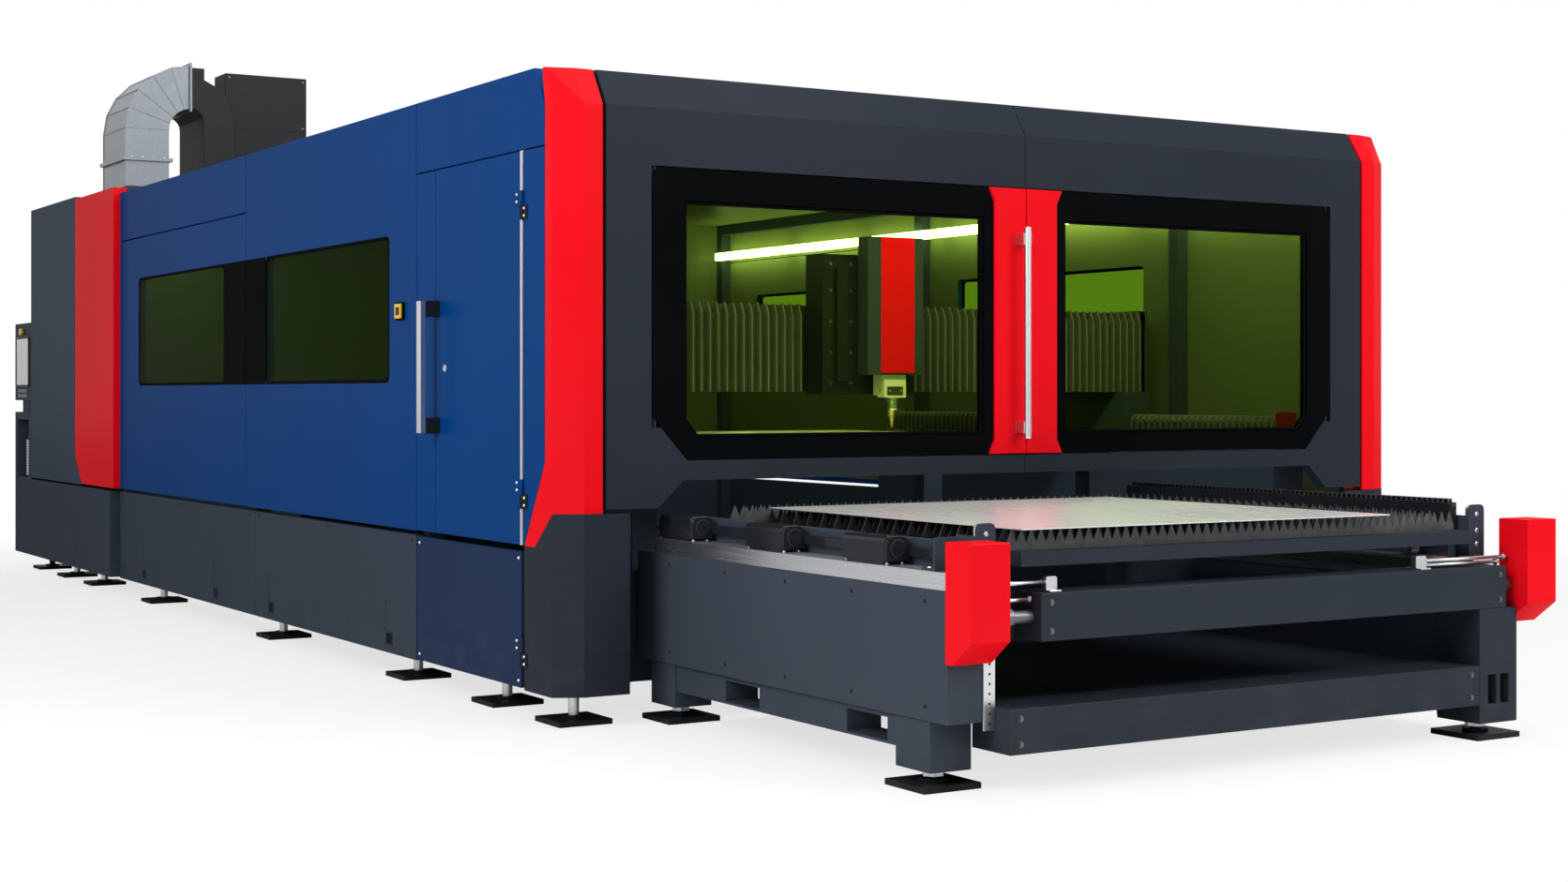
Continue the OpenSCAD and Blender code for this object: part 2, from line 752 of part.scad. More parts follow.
module guide_block(y) along_y(y) polygon([
    for (p = [[-50, 3], [-50, rail_h + 5], [50, rail_h + 5], [50, 3], [rail_w / 2 + slide_gap, 3],
        [rail_w / 2 + slide_gap, rail_h + slide_gap], [-rail_w / 2 - slide_gap, rail_h + slide_gap],
        [-rail_w / 2 - slide_gap, 3]]) p + [-rail_x, bed_top]
]);
module gantry() color(gray) {
    both() {
        for (y = [truck_y + 30, truck_end - 150]) guide_block([y, y + 120]);
        block([-beam_half, -rail_x + truck_w / 2], [truck_y, truck_end], [truck_z, beam_z]);
        block([-beam_half - end_plate, -beam_half], [gantry_y - 10, beam_y + beam_d],
            [beam_z - 30, beam_z + beam_h + 15]);
        for (z = xrail_z) block([-beam_half, 0], [beam_y - xrail[1], beam_y], [z, z + xrail[0]]);
    }
    block([-beam_half, beam_half], [beam_y, beam_y + beam_d], [beam_z, beam_z + beam_h]);
}

module x_bellows(x) along_z([beam_z, beam_z + beam_h + 9])
    polygon(concat([[x[1], beam_y - xrail[1] - 2], [x[0], beam_y - xrail[1] - 2]],
        folds(x[0], x[1], gantry_y + 20, gantry_y, fold)));
module gantry_bellows() color(black) {
    x_bellows([-beam_half, carriage_x[0]]);
    x_bellows([carriage_x[1], beam_half]);
}

module carriage() color(black) {
    block(carriage_x, carriage_y, carriage_z);
    for (z = xrail_z, x = [carriage_x[0] + 20, carriage_x[1] - 140]) difference() {
        block([x, x + 120], [carriage_y[1], beam_y - 4], [z - 22, z + xrail[0] + 22]);
        block([x - 1, x + 121], [beam_y - xrail[1] - slide_gap, beam_y],
            [z - slide_gap, z + xrail[0] + slide_gap]);
    }
}

cover_x = [head_x - cover_w / 2, head_x + cover_w / 2];
module cover_plan(g) polygon([
    [cover_x[0] + g, carriage_y[0]], [cover_x[0] + g, carriage_y[0] - cover_d + 50],
    [cover_x[0] + 50, carriage_y[0] - cover_d + g], [cover_x[1] - 50, carriage_y[0] - cover_d + g],
    [cover_x[1] - g, carriage_y[0] - cover_d + 50], [cover_x[1] - g, carriage_y[0]]
]);
module head_cover() color(gray) difference() {
    along_z([cover_z, cover_z + cover_h]) cover_plan(0);
    along_z([cover_z - 1, cover_z + cover_h - cover_t]) cover_plan(cover_t);
}
module cover_strip() color(red) block([head_x - 95, head_x + 95],
    [carriage_y[0] - cover_d - 6, carriage_y[0] - cover_d], [cover_z + 10, cover_z + cover_h]);

module head_body() color("#d8dad6") {
    block([head_x - 70, head_x + 70], [carriage_y[0] - 24, carriage_y[0] - slide_gap],
        [tip_z + 150, cover_z + 210]);
    block([head_x - 62, head_x + 62], [carriage_y[0] - 80, carriage_y[0] - 24], [tip_z + 140, cover_z + 60]);
}
module nozzle() color("#c9a24a") translate([head_x, head_y, 0]) {
    translate([0, 0, tip_z + 75]) cylinder(r = 26, h = 65);
    translate([0, 0, tip_z + 14]) cylinder(r1 = 7, r2 = 24, h = 61);
    translate([0, 0, tip_z]) cylinder(r1 = 4, r2 = 7, h = 14);
}

// Exchange table

fork = [240, 75];
fork_y = [table_y + 480, table_y + 1290];
module fork_cut(x, y)
    block(x + [-1, 1], [y - fork[0] / 2, y + fork[0] / 2], [leg_z + 70, leg_z + 70 + fork[1]]);
module table_side(x, y, leg_y, guard_x, guard_top) {
    block(x, y, [side_z, side_top]);
    for (l = leg_y) block(x + [10, -10], l, [leg_z, side_z]);
    difference() {
        block(x + [20, -20], [leg_y[0][1], leg_y[1][0]], [leg_z + 60, side_z]);
        for (f = fork_y) fork_cut(x, f);
    }
    block(guard_x, y + [0, -table_in + 110], [side_top, guard_top]);
}
module table_sides() color(gray) {
    table_side([table_left, side_in], [table_y, table_in], [[table_y + 106, table_y + 298], [-40, 150]],
        [side_in - 47, side_in - 27], side_top + 140);
    table_side([right_in, table_right], [plate_y[1], table_in], [[plate_y[1], plate_y[1] + 60], [-40, 150]],
        [right_in + 5, right_in + 45], side_top + 205);
}

module track(x, web) {
    block(x, [plate_y[1], table_in], [side_top, track_z]);
    block(web, [plate_y[1], table_in], [side_top - 80, side_top]);
}
module inner_track(x) {
    block(x, [table_in + bolted, pallet_in_y + pallet_len + 40], [track_z - 90, track_z]);
    for (y = [pallet_in_y + lug_at, pallet_in_y + pallet_len - lug_at])
        block(x, [y - 40, y + 40], [cross_z[1], track_z - 90 - bolted]);
}
module table_rails() color(steel) {
    block([table_left, side_in - 49], [table_y, 110], [side_top, side_top + 55]);
    block([right_in + 60, table_right], [plate_y[1], 110], [side_top, side_top + 55]);
    track([side_in, pallet_x[0] + rail_wide - 5], [side_in, side_in + 10]);
    track([pallet_x[1] - rail_wide + 5, right_in], [right_in - 10, right_in]);
    inner_track([pallet_x[0], pallet_x[0] + rail_wide]);
    inner_track([pallet_x[1] - rail_wide, pallet_x[1]]);
}

guide_y = [for (share = [0.276, 0.6285, 0.989]) table_y + share * table_len];
module guide_boxes() color(black) for (y = guide_y) {
    z = side_top + 55;
    block([table_left + 25, table_left + 104], [y - 110, y + 110], [z, z + 10]);
    block([table_left + 20, table_left + 109], [y - 126, y + 126], [z + 10, z + 92]);
    translate([table_left + 64, y - 126, z + 52]) rotate([90, 0, 0]) cylinder(r = 34, h = 16);
}

end_cover_z = [side_top - 227, side_top + 152];
module end_cover(x) along_x(x) polygon([
    [table_y, end_cover_z[0]], [table_y - 36, end_cover_z[0]], [cover_y, end_cover_z[0] + 76],
    [cover_y, end_cover_z[1]], [table_y, end_cover_z[1]]
]);
module end_covers() color(red) {
    end_cover([table_left - 9, cover_in]);
    end_cover([table_right, table_right + end_cover_w]);
}

module table_beams() color(gray) {
    block([side_in, table_right], plate_y, [drive_z + 5, side_top - 20]);
    block(drive_x, [front_y, plate_y[0] - bolted], [drive_z, drive_z + drive_h]);
    block([side_in, right_in], [plate_y[1] + bolted, tray_end], tray_z);
    block([side_in, table_right - right_post - bolted], [front_y, plate_y[1]], lower_z);
    difference() {
        block([table_right - right_post, table_right], [front_y, plate_y[1]], [leg_z, drive_z - bolted]);
        for (x = [table_right - 130, table_right - 65])
            block([x - 22, x + 22], [front_y - 1, front_y + 60], [leg_z + 70, leg_z + 175]);
    }
}

module shaft(x) translate([x[0] + slide_gap, shaft_y, shaft_z]) rotate([0, 90, 0]) {
    cylinder(r = shaft_r, h = x[1] - x[0] - 2 * slide_gap);
    translate([0, 0, 6]) cylinder(r = shaft_r + 9, h = min(64, x[1] - x[0] - 12));
}
module drive_shaft() color(steel) {
    shaft([cover_in, drive_x[0]]);
    shaft([drive_x[1], table_right]);
}

// Pallets: rail height, lugs and wheels are measured from the track

module at_outer() translate([0, pallet_out_y, track_z]) children();
module at_inner() translate([0, pallet_in_y, track_z + lift]) children();
pallet_z = [wheel_d, wheel_d + pallet_rail_h];
wheel_y = [wheel_at, pallet_len - wheel_at];
wheel_x = [pallet_x[0], pallet_x[1] - rail_wide];

module wheel_fork(x, y) difference() {
    for (p = [x, x + rail_wide - 4]) block([p, p + 4], [y - 22, y + 22], [8, wheel_d]);
    translate([x - 1, y, wheel_d / 2]) rotate([0, 90, 0]) cylinder(r = axle_r + pin_gap, h = rail_wide + 2);
}
module pallet_frame() {
    for (x = wheel_x) {
        block([x, x + rail_wide], [0, pallet_len], pallet_z);
        for (y = wheel_y) wheel_fork(x, y);
    }
    for (y = [0, pallet_len - 50]) block(pallet_x + [rail_wide, -rail_wide], [y, y + 50], pallet_z);
    for (i = [1 : 3]) {
        x = pallet_x[0] + pallet_w * i / 4;
        block([x - 20, x + 20], [50, pallet_len - 50], [wheel_d, wheel_d + 10]);
    }
    for (x = [pallet_x[0] - lug[0], pallet_x[1]], y = [lug_at, pallet_len - lug_at])
        block([x, x + lug[0]], [y - lug[1] / 2, y + lug[1] / 2], [lug_z, lug_z + lug[2]]);
}

slat_top = pallet_z[1] + slat_h;
teeth = floor((pallet_w - 2) / tooth);
module slat() {
    a = (pallet_w - teeth * tooth) / 2;
    w = pallet_w;
    low = wheel_d + 10 + slide_gap - pallet_z[1];
    translate([pallet_x[0], 0, pallet_z[1]]) along_y([0, slat_t]) polygon(concat(
        [[0, slat_h - 45], [0, 0], [rail_wide + 4, 0], [rail_wide + 4, low], [w - rail_wide - 4, low],
            [w - rail_wide - 4, 0], [w, 0], [w, slat_h - 45]],
        [for (i = [teeth - 1 : -1 : 0]) each [
            [a + (i + 1) * tooth, slat_h - 45], [a + (i + 0.5) * tooth, slat_h]]],
        [[a, slat_h - 45]]));
}
slat_n = floor((pallet_len - 120) / slat_pitch);
module slats() for (i = [0 : slat_n])
    translate([0, (pallet_len - slat_n * slat_pitch) / 2 + i * slat_pitch, 0]) slat();
module sheet(x, y) block([x, x + sheet_size[0]], [y, y + sheet_size[1]], [slat_top, slat_top + sheet_t]);
module wheels(y) for (x = wheel_x) translate([x, y, wheel_d / 2]) rotate([0, 90, 0]) {
    cylinder(r = axle_r, h = rail_wide);
    translate([0, 0, 5]) cylinder(r = wheel_d / 2 - slide_gap, h = rail_wide - 10);
}

module outer_pallet() color(gray) at_outer() pallet_frame();
module outer_slats() color(steel) at_outer() slats();
module outer_sheet() color(steel) at_outer() sheet(pallet_x[0] + 15, 10);
module outer_front_wheels() color(black) at_outer() wheels(wheel_y[0]);
module outer_rear_wheels() color(black) at_outer() wheels(wheel_y[1]);
module inner_pallet() color(gray) at_inner() pallet_frame();
module inner_slats() color(steel) at_inner() slats();
module inner_sheet() color(steel) at_inner() sheet(pallet_x[0] + 15, 10);
module inner_front_wheels() color(black) at_inner() wheels(wheel_y[0]);
module inner_rear_wheels() color(black) at_inner() wheels(wheel_y[1]);

module hook(x, y) at_inner() block(x, [y - 40, y + 40], [lug_z - 24, lug_z]);
module lift_hooks() color(steel) for (y = [lug_at, pallet_len - lug_at]) {
    hook([pallet_x[0] - column_gap + slide_gap, pallet_x[0] - 5], y);
    hook([pallet_x[1] + 5, pallet_x[1] + column_gap - slide_gap], y);
}

place() bed_frame();
place() leveling_feet();
place() cabin_frame();
place() roof();
place() kick_panels();
place() corner_bases();
place() corner_posts();
place() front_frames();
place() door_surround();
place() wall_panels_left();
place() wall_panels_right();
place() side_windows();
place() black_trim();
place() rear_accents();
place() rear_cabinet();
place() exhaust_duct();
place() exhaust_fan();
place() console();
place() console_screen();
place() hose_coil();
place() light_strips();
place() rails();
place() rail_guards();
place() table_sides();
place() table_rails();
place() guide_boxes();
place() end_covers();
place() table_beams();
place() hinges();
place() drive_shaft();
place() side_door();
place() side_handle();
place() access_door();
place() door_button();
place() stop_button();
place() front_door_left();
place() front_glass_left();
place() front_stile_left();
place() front_handle();
place() front_door_right();
place() front_glass_right();
place() front_stile_right();
place() gantry();
place() gantry_bellows();
place() carriage();
place() head_cover();
place() cover_strip();
place() head_body();
place() nozzle();
place() outer_pallet();
place() outer_slats();
place() outer_sheet();
place() outer_front_wheels();
place() outer_rear_wheels();
place() lift_hooks();
place() inner_pallet();
place() inner_slats();
place() inner_sheet();
place() inner_front_wheels();
place() inner_rear_wheels();
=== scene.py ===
"""Looks of the laser cutting machine: finishes, cloth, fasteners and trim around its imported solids."""

import json
import math
from functools import partialmethod

import bmesh
import bpy
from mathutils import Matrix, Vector

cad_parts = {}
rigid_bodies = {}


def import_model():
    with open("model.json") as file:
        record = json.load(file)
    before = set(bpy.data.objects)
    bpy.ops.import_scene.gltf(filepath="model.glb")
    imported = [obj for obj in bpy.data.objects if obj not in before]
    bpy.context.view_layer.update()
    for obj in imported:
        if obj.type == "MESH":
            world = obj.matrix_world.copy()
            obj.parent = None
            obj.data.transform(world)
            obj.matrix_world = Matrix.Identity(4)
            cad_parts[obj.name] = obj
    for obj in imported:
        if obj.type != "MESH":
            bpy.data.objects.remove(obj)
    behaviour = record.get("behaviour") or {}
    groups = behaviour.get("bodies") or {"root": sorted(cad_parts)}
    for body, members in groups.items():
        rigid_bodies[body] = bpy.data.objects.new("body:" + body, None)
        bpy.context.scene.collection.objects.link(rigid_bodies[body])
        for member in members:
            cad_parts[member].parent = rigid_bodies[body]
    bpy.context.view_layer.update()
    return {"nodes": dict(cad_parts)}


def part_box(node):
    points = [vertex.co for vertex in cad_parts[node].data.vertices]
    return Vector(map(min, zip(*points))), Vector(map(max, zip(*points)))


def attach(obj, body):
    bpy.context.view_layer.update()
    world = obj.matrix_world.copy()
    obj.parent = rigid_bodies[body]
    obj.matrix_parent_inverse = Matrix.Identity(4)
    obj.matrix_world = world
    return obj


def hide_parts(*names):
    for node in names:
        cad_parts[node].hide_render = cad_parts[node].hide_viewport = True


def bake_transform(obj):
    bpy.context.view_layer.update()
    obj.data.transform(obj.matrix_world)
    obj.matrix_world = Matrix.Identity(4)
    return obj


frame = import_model()
MM = 0.001
X, Y, Z = Vector((1, 0, 0)), Vector((0, 1, 0)), Vector((0, 0, 1))
FRONT_LOW, FRONT_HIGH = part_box("front_frames")
FRONT_X = (FRONT_LOW.x + FRONT_HIGH.x) / 2
FRONT_Y = FRONT_LOW.y
SIDE_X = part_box("door_surround")[0].x
SIDE_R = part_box("wall_panels_right")[1].x


def at_x(mm):
    """The x of a place measured across from the cabin's middle, in millimetres."""
    return FRONT_X + mm * MM


def at_y(mm):
    """The y of a place measured back from the cabin's front, in millimetres."""
    return FRONT_Y + mm * MM


# Camera of the photograph

PHOTO_W = 1672
FOCAL_PX = 2327
HORIZON_PX = 51
SENSOR_MM = 36
CLIP_END = 200
EYE = Vector((-5.595, -10.801, 1.25))
YAW_DEG = -31.3


def add(name, data):
    """A new object in the scene."""
    made = bpy.data.objects.new(name, data)
    bpy.context.scene.collection.objects.link(made)
    return made


def set_camera():
    """Puts the camera where the photograph was taken from."""
    data = bpy.data.cameras.new("photo_camera")
    data.sensor_width = SENSOR_MM
    data.lens = FOCAL_PX / PHOTO_W * SENSOR_MM
    data.shift_y = -HORIZON_PX / PHOTO_W
    data.clip_end = CLIP_END
    camera = add("photo_camera", data)
    camera.location = EYE
    camera.rotation_euler = (math.radians(90), 0, math.radians(YAW_DEG))
    bpy.context.scene.camera = camera


# Node kit


class Wire:
    """A node's output that works in expressions."""

    def __init__(self, tree, socket):
        self.tree, self.socket = tree, socket

    def _math(self, operation, other=0, turned=False):
        """A math node on this wire and another value, or the other way round."""
        a, b = (other, self) if turned else (self, other)
        return self.tree.node("ShaderNodeMath", {"operation": operation}, {0: a, 1: b})

    __add__ = __radd__ = partialmethod(_math, "ADD")
    __sub__ = partialmethod(_math, "SUBTRACT")
    __rsub__ = partialmethod(_math, "SUBTRACT", turned=True)
    __mul__ = __rmul__ = partialmethod(_math, "MULTIPLY")
    __lt__ = partialmethod(_math, "LESS_THAN")
    __gt__ = partialmethod(_math, "GREATER_THAN")
    __abs__ = partialmethod(_math, "ABSOLUTE")
    most = partialmethod(_math, "MAXIMUM")


class Tree:
    """A node tree whose nodes give wires."""

    def __init__(self, tree):
        self.tree = tree
        tree.nodes.clear()

    def node(self, kind, settings=None, inputs=None, out=0):
        """A new node with its settings, its inputs as values or wires, and one output as a wire."""
        made = self.tree.nodes.new(kind)
        for key, value in (settings or {}).items():
            setattr(made, key, value)
        for key, value in (inputs or {}).items():
            if isinstance(value, Wire):
                self.tree.links.new(value.socket, made.inputs[key])
            else:
                made.inputs[key].default_value = value
        return Wire(self, made.outputs[out]) if made.outputs else None


class Finish(Tree):
    """One material, built from nodes."""

    def __init__(self, name):
        self.material = bpy.data.materials.new(name)
        self.material.use_nodes = True
        super().__init__(self.material.node_tree)
        self.place = self.node("ShaderNodeTexCoord", out="Object")

    def axis(self, name):
        """One measure of the place."""
        return self.node("ShaderNodeSeparateXYZ", inputs={0: self.place}, out=name)

    def noise(self, scale, detail=2.0, stretch=(1, 1, 1)):
        """Cloudy values, finer along the axes with more stretch."""
        grain = self.node("ShaderNodeMapping", inputs={"Vector": self.place, "Scale": stretch})
        sizes = {"Vector": grain, "Scale": scale, "Detail": detail, "Roughness": 0.5}
        return self.node("ShaderNodeTexNoise", inputs=sizes)

    def wave(self, direction, scale, distortion):
        """Even stripes across one axis."""
        sizes = {"Vector": self.place, "Scale": scale, "Distortion": distortion}
        return self.node("ShaderNodeTexWave", {"bands_direction": direction}, sizes, "Fac")

    def band(self, value, low, high):
        """0 below low, 1 above high, straight in between."""
        limits = {"Value": value, "From Min": low, "From Max": high, "To Min": 0, "To Max": 1}
        return self.node("ShaderNodeMapRange", inputs=limits)

    def blend(self, factor, a, b):
        """A colour between a and b."""
        a, b = [(*c, 1) if isinstance(c, tuple) else c for c in (a, b)]
        return self.node("ShaderNodeMix", {"data_type": "RGBA"}, {0: factor, 6: a, 7: b}, out=2)

    def bump(self, height, distance, strength):
        """A normal that follows a height."""
        inputs = {"Height": height, "Distance": distance, "Strength": strength}
        return self.node("ShaderNodeBump", inputs=inputs)

    def close(self, **sockets):
        """Puts the surface shader in place: socket names with spaces as underscores."""
        inputs = {key.replace("_", " "): value for key, value in sockets.items()}
        shader = self.node("ShaderNodeBsdfPrincipled", inputs=inputs)
        self.node("ShaderNodeOutputMaterial", inputs={"Surface": shader})
        return self.material


# Finishes

DUST = (0.30, 0.29, 0.27)
RIDGE = "ridge"
LINING = (0.105, 0.130, 0.066)
LINING_LOW = 0.70
LINING_LAP = 2 * MM
ROOF_LOW, ROOF_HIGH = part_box("roof")
MIDDLE_X = (ROOF_LOW.x + ROOF_HIGH.x) / 2
CABIN_IN = (ROOF_HIGH.x - ROOF_LOW.x) / 2
REAR_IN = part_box("rear_cabinet")[1].y - LINING_LAP
LAMP_GLOW = 16.0


def darker(colour, share):
    """A share of a colour."""
    return tuple(c * share for c in colour)


def powder_coat(name, colour, coat=0.12, gloss=0.3, lined=False):
    """Sprayed and baked paint: orange peel, slow drift, dust low down, a pale lining in the cabin."""
    f = Finish(name)
    drift = f.band(f.noise(1.3, 3), 0.3, 0.7)
    tone = f.blend(drift, darker(colour, 0.93), colour)
    height = f.axis("Z")
    low = 1 - f.band(height, 0.05, 0.55)
    tone = f.blend(low * f.band(f.noise(9, 5), 0.45, 0.75) * 0.04, tone, DUST)
    if lined:
        across = abs(f.axis("X") - MIDDLE_X) < CABIN_IN + LINING_LAP
        level = (height < ROOF_LOW.z + LINING_LAP) * (height > LINING_LOW)
        tone = f.blend(across * level * (f.axis("Y") < REAR_IN), tone, LINING)
    wiped = f.noise(6, 4) - 0.5
    return f.close(
        Base_Color=tone, Roughness=0.5 + wiped * 0.12, Specular_IOR_Level=0.0,
        Coat_Weight=coat + wiped * coat * 0.25, Coat_Roughness=gloss,
        Normal=f.bump(f.noise(420, 1), 0.0004, 0.3),
    )


def brushed(name, colour, stretch, rough=0.3):
    """Ground stainless steel with fine lines along one direction."""
    f = Finish(name)
    lines = f.noise(60, 3, stretch)
    return f.close(
        Base_Color=f.blend(lines, darker(colour, 0.80), colour), Metallic=1.0,
        Roughness=rough + (lines - 0.5) * 0.22, Normal=f.bump(lines, 0.0003, 0.25),
    )


def rolled_sheet():
    """Bright cold-rolled sheet with soft mill shading and fine rolling lines."""
    f = Finish("rolled_sheet")
    lines = f.noise(30, 2, (6, 0.25, 1))
    clouds = f.noise(1.1, 2)
    return f.close(
        Base_Color=f.blend(clouds, (0.80, 0.81, 0.80), (0.88, 0.89, 0.88)), Metallic=0.5,
        Roughness=0.25 + clouds * 0.06 + (lines - 0.5) * 0.03, Normal=f.bump(lines, 0.0001, 0.06),
    )


def slat_steel():
    """Cutting slats: grey mill scale with heat-tinted, spattered patches."""
    f = Finish("slat_steel")
    scale = f.noise(22, 5)
    tone = f.blend(scale, (0.050, 0.051, 0.054), (0.14, 0.14, 0.148))
    burnt = f.band(f.noise(60, 4), 0.52, 0.72)
    return f.close(
        Base_Color=f.blend(burnt * 0.6, tone, (0.07, 0.055, 0.045)), Metallic=0.85,
        Roughness=0.42 + scale * 0.2, Normal=f.bump(f.noise(180, 3), 0.0006, 0.5),
    )


def galvanised():
    """Zinc spangle of hot-dip coated duct sheet."""
    f = Finish("galvanised")
    sizes = {"Vector": f.place, "Scale": 34.0, "Randomness": 1.0}
    crystal = f.node("ShaderNodeTexVoronoi", inputs=sizes, out="Color")
    shade = f.node("ShaderNodeSeparateColor", inputs={"Color": crystal})
    streak = f.noise(3, 4, (1, 1, 0.3))
    tone = f.blend(shade, (0.15, 0.165, 0.19), (0.21, 0.23, 0.26))
    return f.close(
        Base_Color=f.blend(f.band(streak, 0.5, 0.8) * 0.3, tone, (0.29, 0.31, 0.34)), Metallic=0.4,
        Roughness=0.30 + shade * 0.10, Normal=f.bump(shade, 0.0003, 0.2),
    )


def laser_glass(name, tint):
    """Green safety glazing with faint wipe marks."""
    f = Finish(name)
    wipes = f.noise(4, 4, (1, 1, 0.25))
    return f.close(
        Base_Color=(*tint, 1), Roughness=f.band(wipes, 0.5, 1.0) * 0.03, Transmission_Weight=1.0,
        IOR=1.015, Coat_Weight=0.015, Coat_Roughness=0.05,
    )


def gloss_black():
    """Back-printed glazing border and moulded black trim."""
    f = Finish("gloss_black")
    haze = f.noise(5, 4)
    return f.close(
        Base_Color=f.blend(haze, (0.002, 0.0022, 0.0025), (0.004, 0.0045, 0.005)),
        Roughness=0.16 + haze * 0.10, Specular_IOR_Level=0.0, Coat_Weight=0.012 + haze * 0.01,
        Coat_Roughness=0.1,
    )


def moulded(name, colour, rough=0.5):
    """Moulded plastic or rubber with a fine leather grain."""
    f = Finish(name)
    pores = f.noise(260, 2)
    return f.close(
        Base_Color=f.blend(f.noise(8, 3), darker(colour, 0.85), colour),
        Roughness=rough + (pores - 0.5) * 0.12, Normal=f.bump(pores, 0.0004, 0.4),
        Specular_IOR_Level=0.35,
    )


def bellows_cloth():
    """Coated cloth: a fine plain weave, with painted shade in the folds and a painted highlight along
    the ridges.
    """
    f = Finish("bellows_cloth")
    weave = f.wave("X", 180.0, 0.4) * f.wave("Z", 180.0, 0.4)
    ridge = f.node("ShaderNodeAttribute", {"attribute_name": RIDGE}, out="Fac")
    # Noise that varies the roughness and breaks up the painted ridge highlight.
    wear_and_highlight = f.band(f.noise(7, 5), 0.3, 0.8)
    # Painted shade and highlight: darker where the ridge attribute is 0 (the folds), lighter where it is
    # 1 (the ridges).
    tone = f.blend(f.band(ridge, 0.2, 1.0), (0.010, 0.011, 0.012), (0.035, 0.037, 0.037))
    # Painted highlight: a pale colour along the ridge lines, broken up by noise.
    painted_ridge_highlight = f.band(ridge, 0.82, 0.98) * (0.5 + wear_and_highlight * 0.5)
    return f.close(
        Base_Color=f.blend(painted_ridge_highlight, tone, (0.26, 0.27, 0.25)), Roughness=0.55 + wear_and_highlight * 0.15,
        Sheen_Weight=0.08, Normal=f.bump(weave, 0.0004, 0.4),
    )


def turned(name, colour):
    """Turned metal with fine rings left by the tool."""
    f = Finish(name)
    rings = f.noise(500, 1, (0.05, 0.05, 1))
    return f.close(
        Base_Color=f.blend(f.noise(40, 4) * 0.5, colour, darker(colour, 0.55)), Metallic=1.0,
        Roughness=0.22 + rings * 0.14, Normal=f.bump(rings, 0.0002, 0.3),
    )


def light_diffuser():
    """Frosted tube cover that glows, a little weaker at its clips."""
    f = Finish("light_diffuser")
    clips = f.band(f.wave("Y", 0.35, 0.0), 0.0, 0.06)
    return f.close(
        Base_Color=(0.9, 0.92, 0.88, 1), Roughness=0.4,
        Emission_Color=f.blend(clips, (0.35, 0.36, 0.33), (1.0, 1.0, 0.92)),
        Emission_Strength=LAMP_GLOW,
    )


def display_glass():
    """Dark display with a dim picture area and bar, seen through clear glass."""
    f = Finish("display_glass")
    lo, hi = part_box("console_screen")
    rows = f.band(f.axis("Z"), lo.z + 0.72 * (hi.z - lo.z), lo.z + 0.74 * (hi.z - lo.z))
    tint = f.blend(rows, (0.045, 0.060, 0.058), (0.085, 0.11, 0.11))
    tint = f.blend(f.band(f.noise(9, 2), 0.45, 0.6) * 0.3, tint, (0.03, 0.045, 0.05))
    return f.close(Base_Color=tint, Roughness=0.12 + f.noise(5, 3) * 0.05, Coat_Weight=0.6)


GRAY = powder_coat("gray_coat", (0.037, 0.050, 0.071))
FRONT_GRAY = powder_coat("front_gray_coat", (0.022, 0.028, 0.038))
TABLE_GRAY = powder_coat("table_gray_coat", (0.045, 0.057, 0.077))
BEAM_GRAY = powder_coat("beam_gray_coat", (0.028, 0.035, 0.046))
LINED_GRAY = powder_coat("lined_gray_coat", (0.045, 0.062, 0.090), lined=True)
BLUE = powder_coat("blue_coat", (0.0012, 0.044, 0.190), lined=True)
NAVY = powder_coat("navy_coat", (0.015, 0.030, 0.078))
RED = powder_coat("red_coat", (0.84, 0.005, 0.012), gloss=0.22)
BLACK = powder_coat("black_coat", (0.013, 0.015, 0.018), coat=0.2)
ENAMEL = powder_coat("black_enamel", (0.014, 0.016, 0.020), coat=0.5, gloss=0.16)
WHITE = powder_coat("white_coat", (0.72, 0.73, 0.70), coat=0.3, gloss=0.2)
STEEL_X = brushed("steel_along_x", (0.66, 0.67, 0.69), (0.04, 4, 4))
STEEL_Y = brushed("steel_along_y", (0.66, 0.67, 0.69), (4, 0.04, 4))
STEEL_Z = brushed("steel_along_z", (0.72, 0.73, 0.75), (4, 4, 0.04))
DARK_STEEL = brushed("dark_steel", (0.16, 0.16, 0.165), (3, 0.2, 3), rough=0.4)
SHEET = rolled_sheet()
SLATS = slat_steel()
ZINC = galvanised()
GLASS = laser_glass("front_glass", (0.48, 0.64, 0.14))
SIDE_GLASS = laser_glass("side_glass", (0.17, 0.30, 0.035))
GLOSS_BLACK = gloss_black()
RUBBER = moulded("black_rubber", (0.012, 0.012, 0.013), rough=0.6)
YELLOW = moulded("yellow_plastic", (0.85, 0.50, 0.01), rough=0.3)
KEY_GRAY = moulded("key_plastic", (0.16, 0.17, 0.18), rough=0.45)
HOSE = moulded("white_hose", (0.72, 0.73, 0.74), rough=0.4)
CLOTH = bellows_cloth()
BRASS = turned("turned_brass", (0.80, 0.56, 0.22))
COPPER = turned("turned_copper", (0.82, 0.42, 0.26))
LIGHT = light_diffuser()
SCREEN = display_glass()

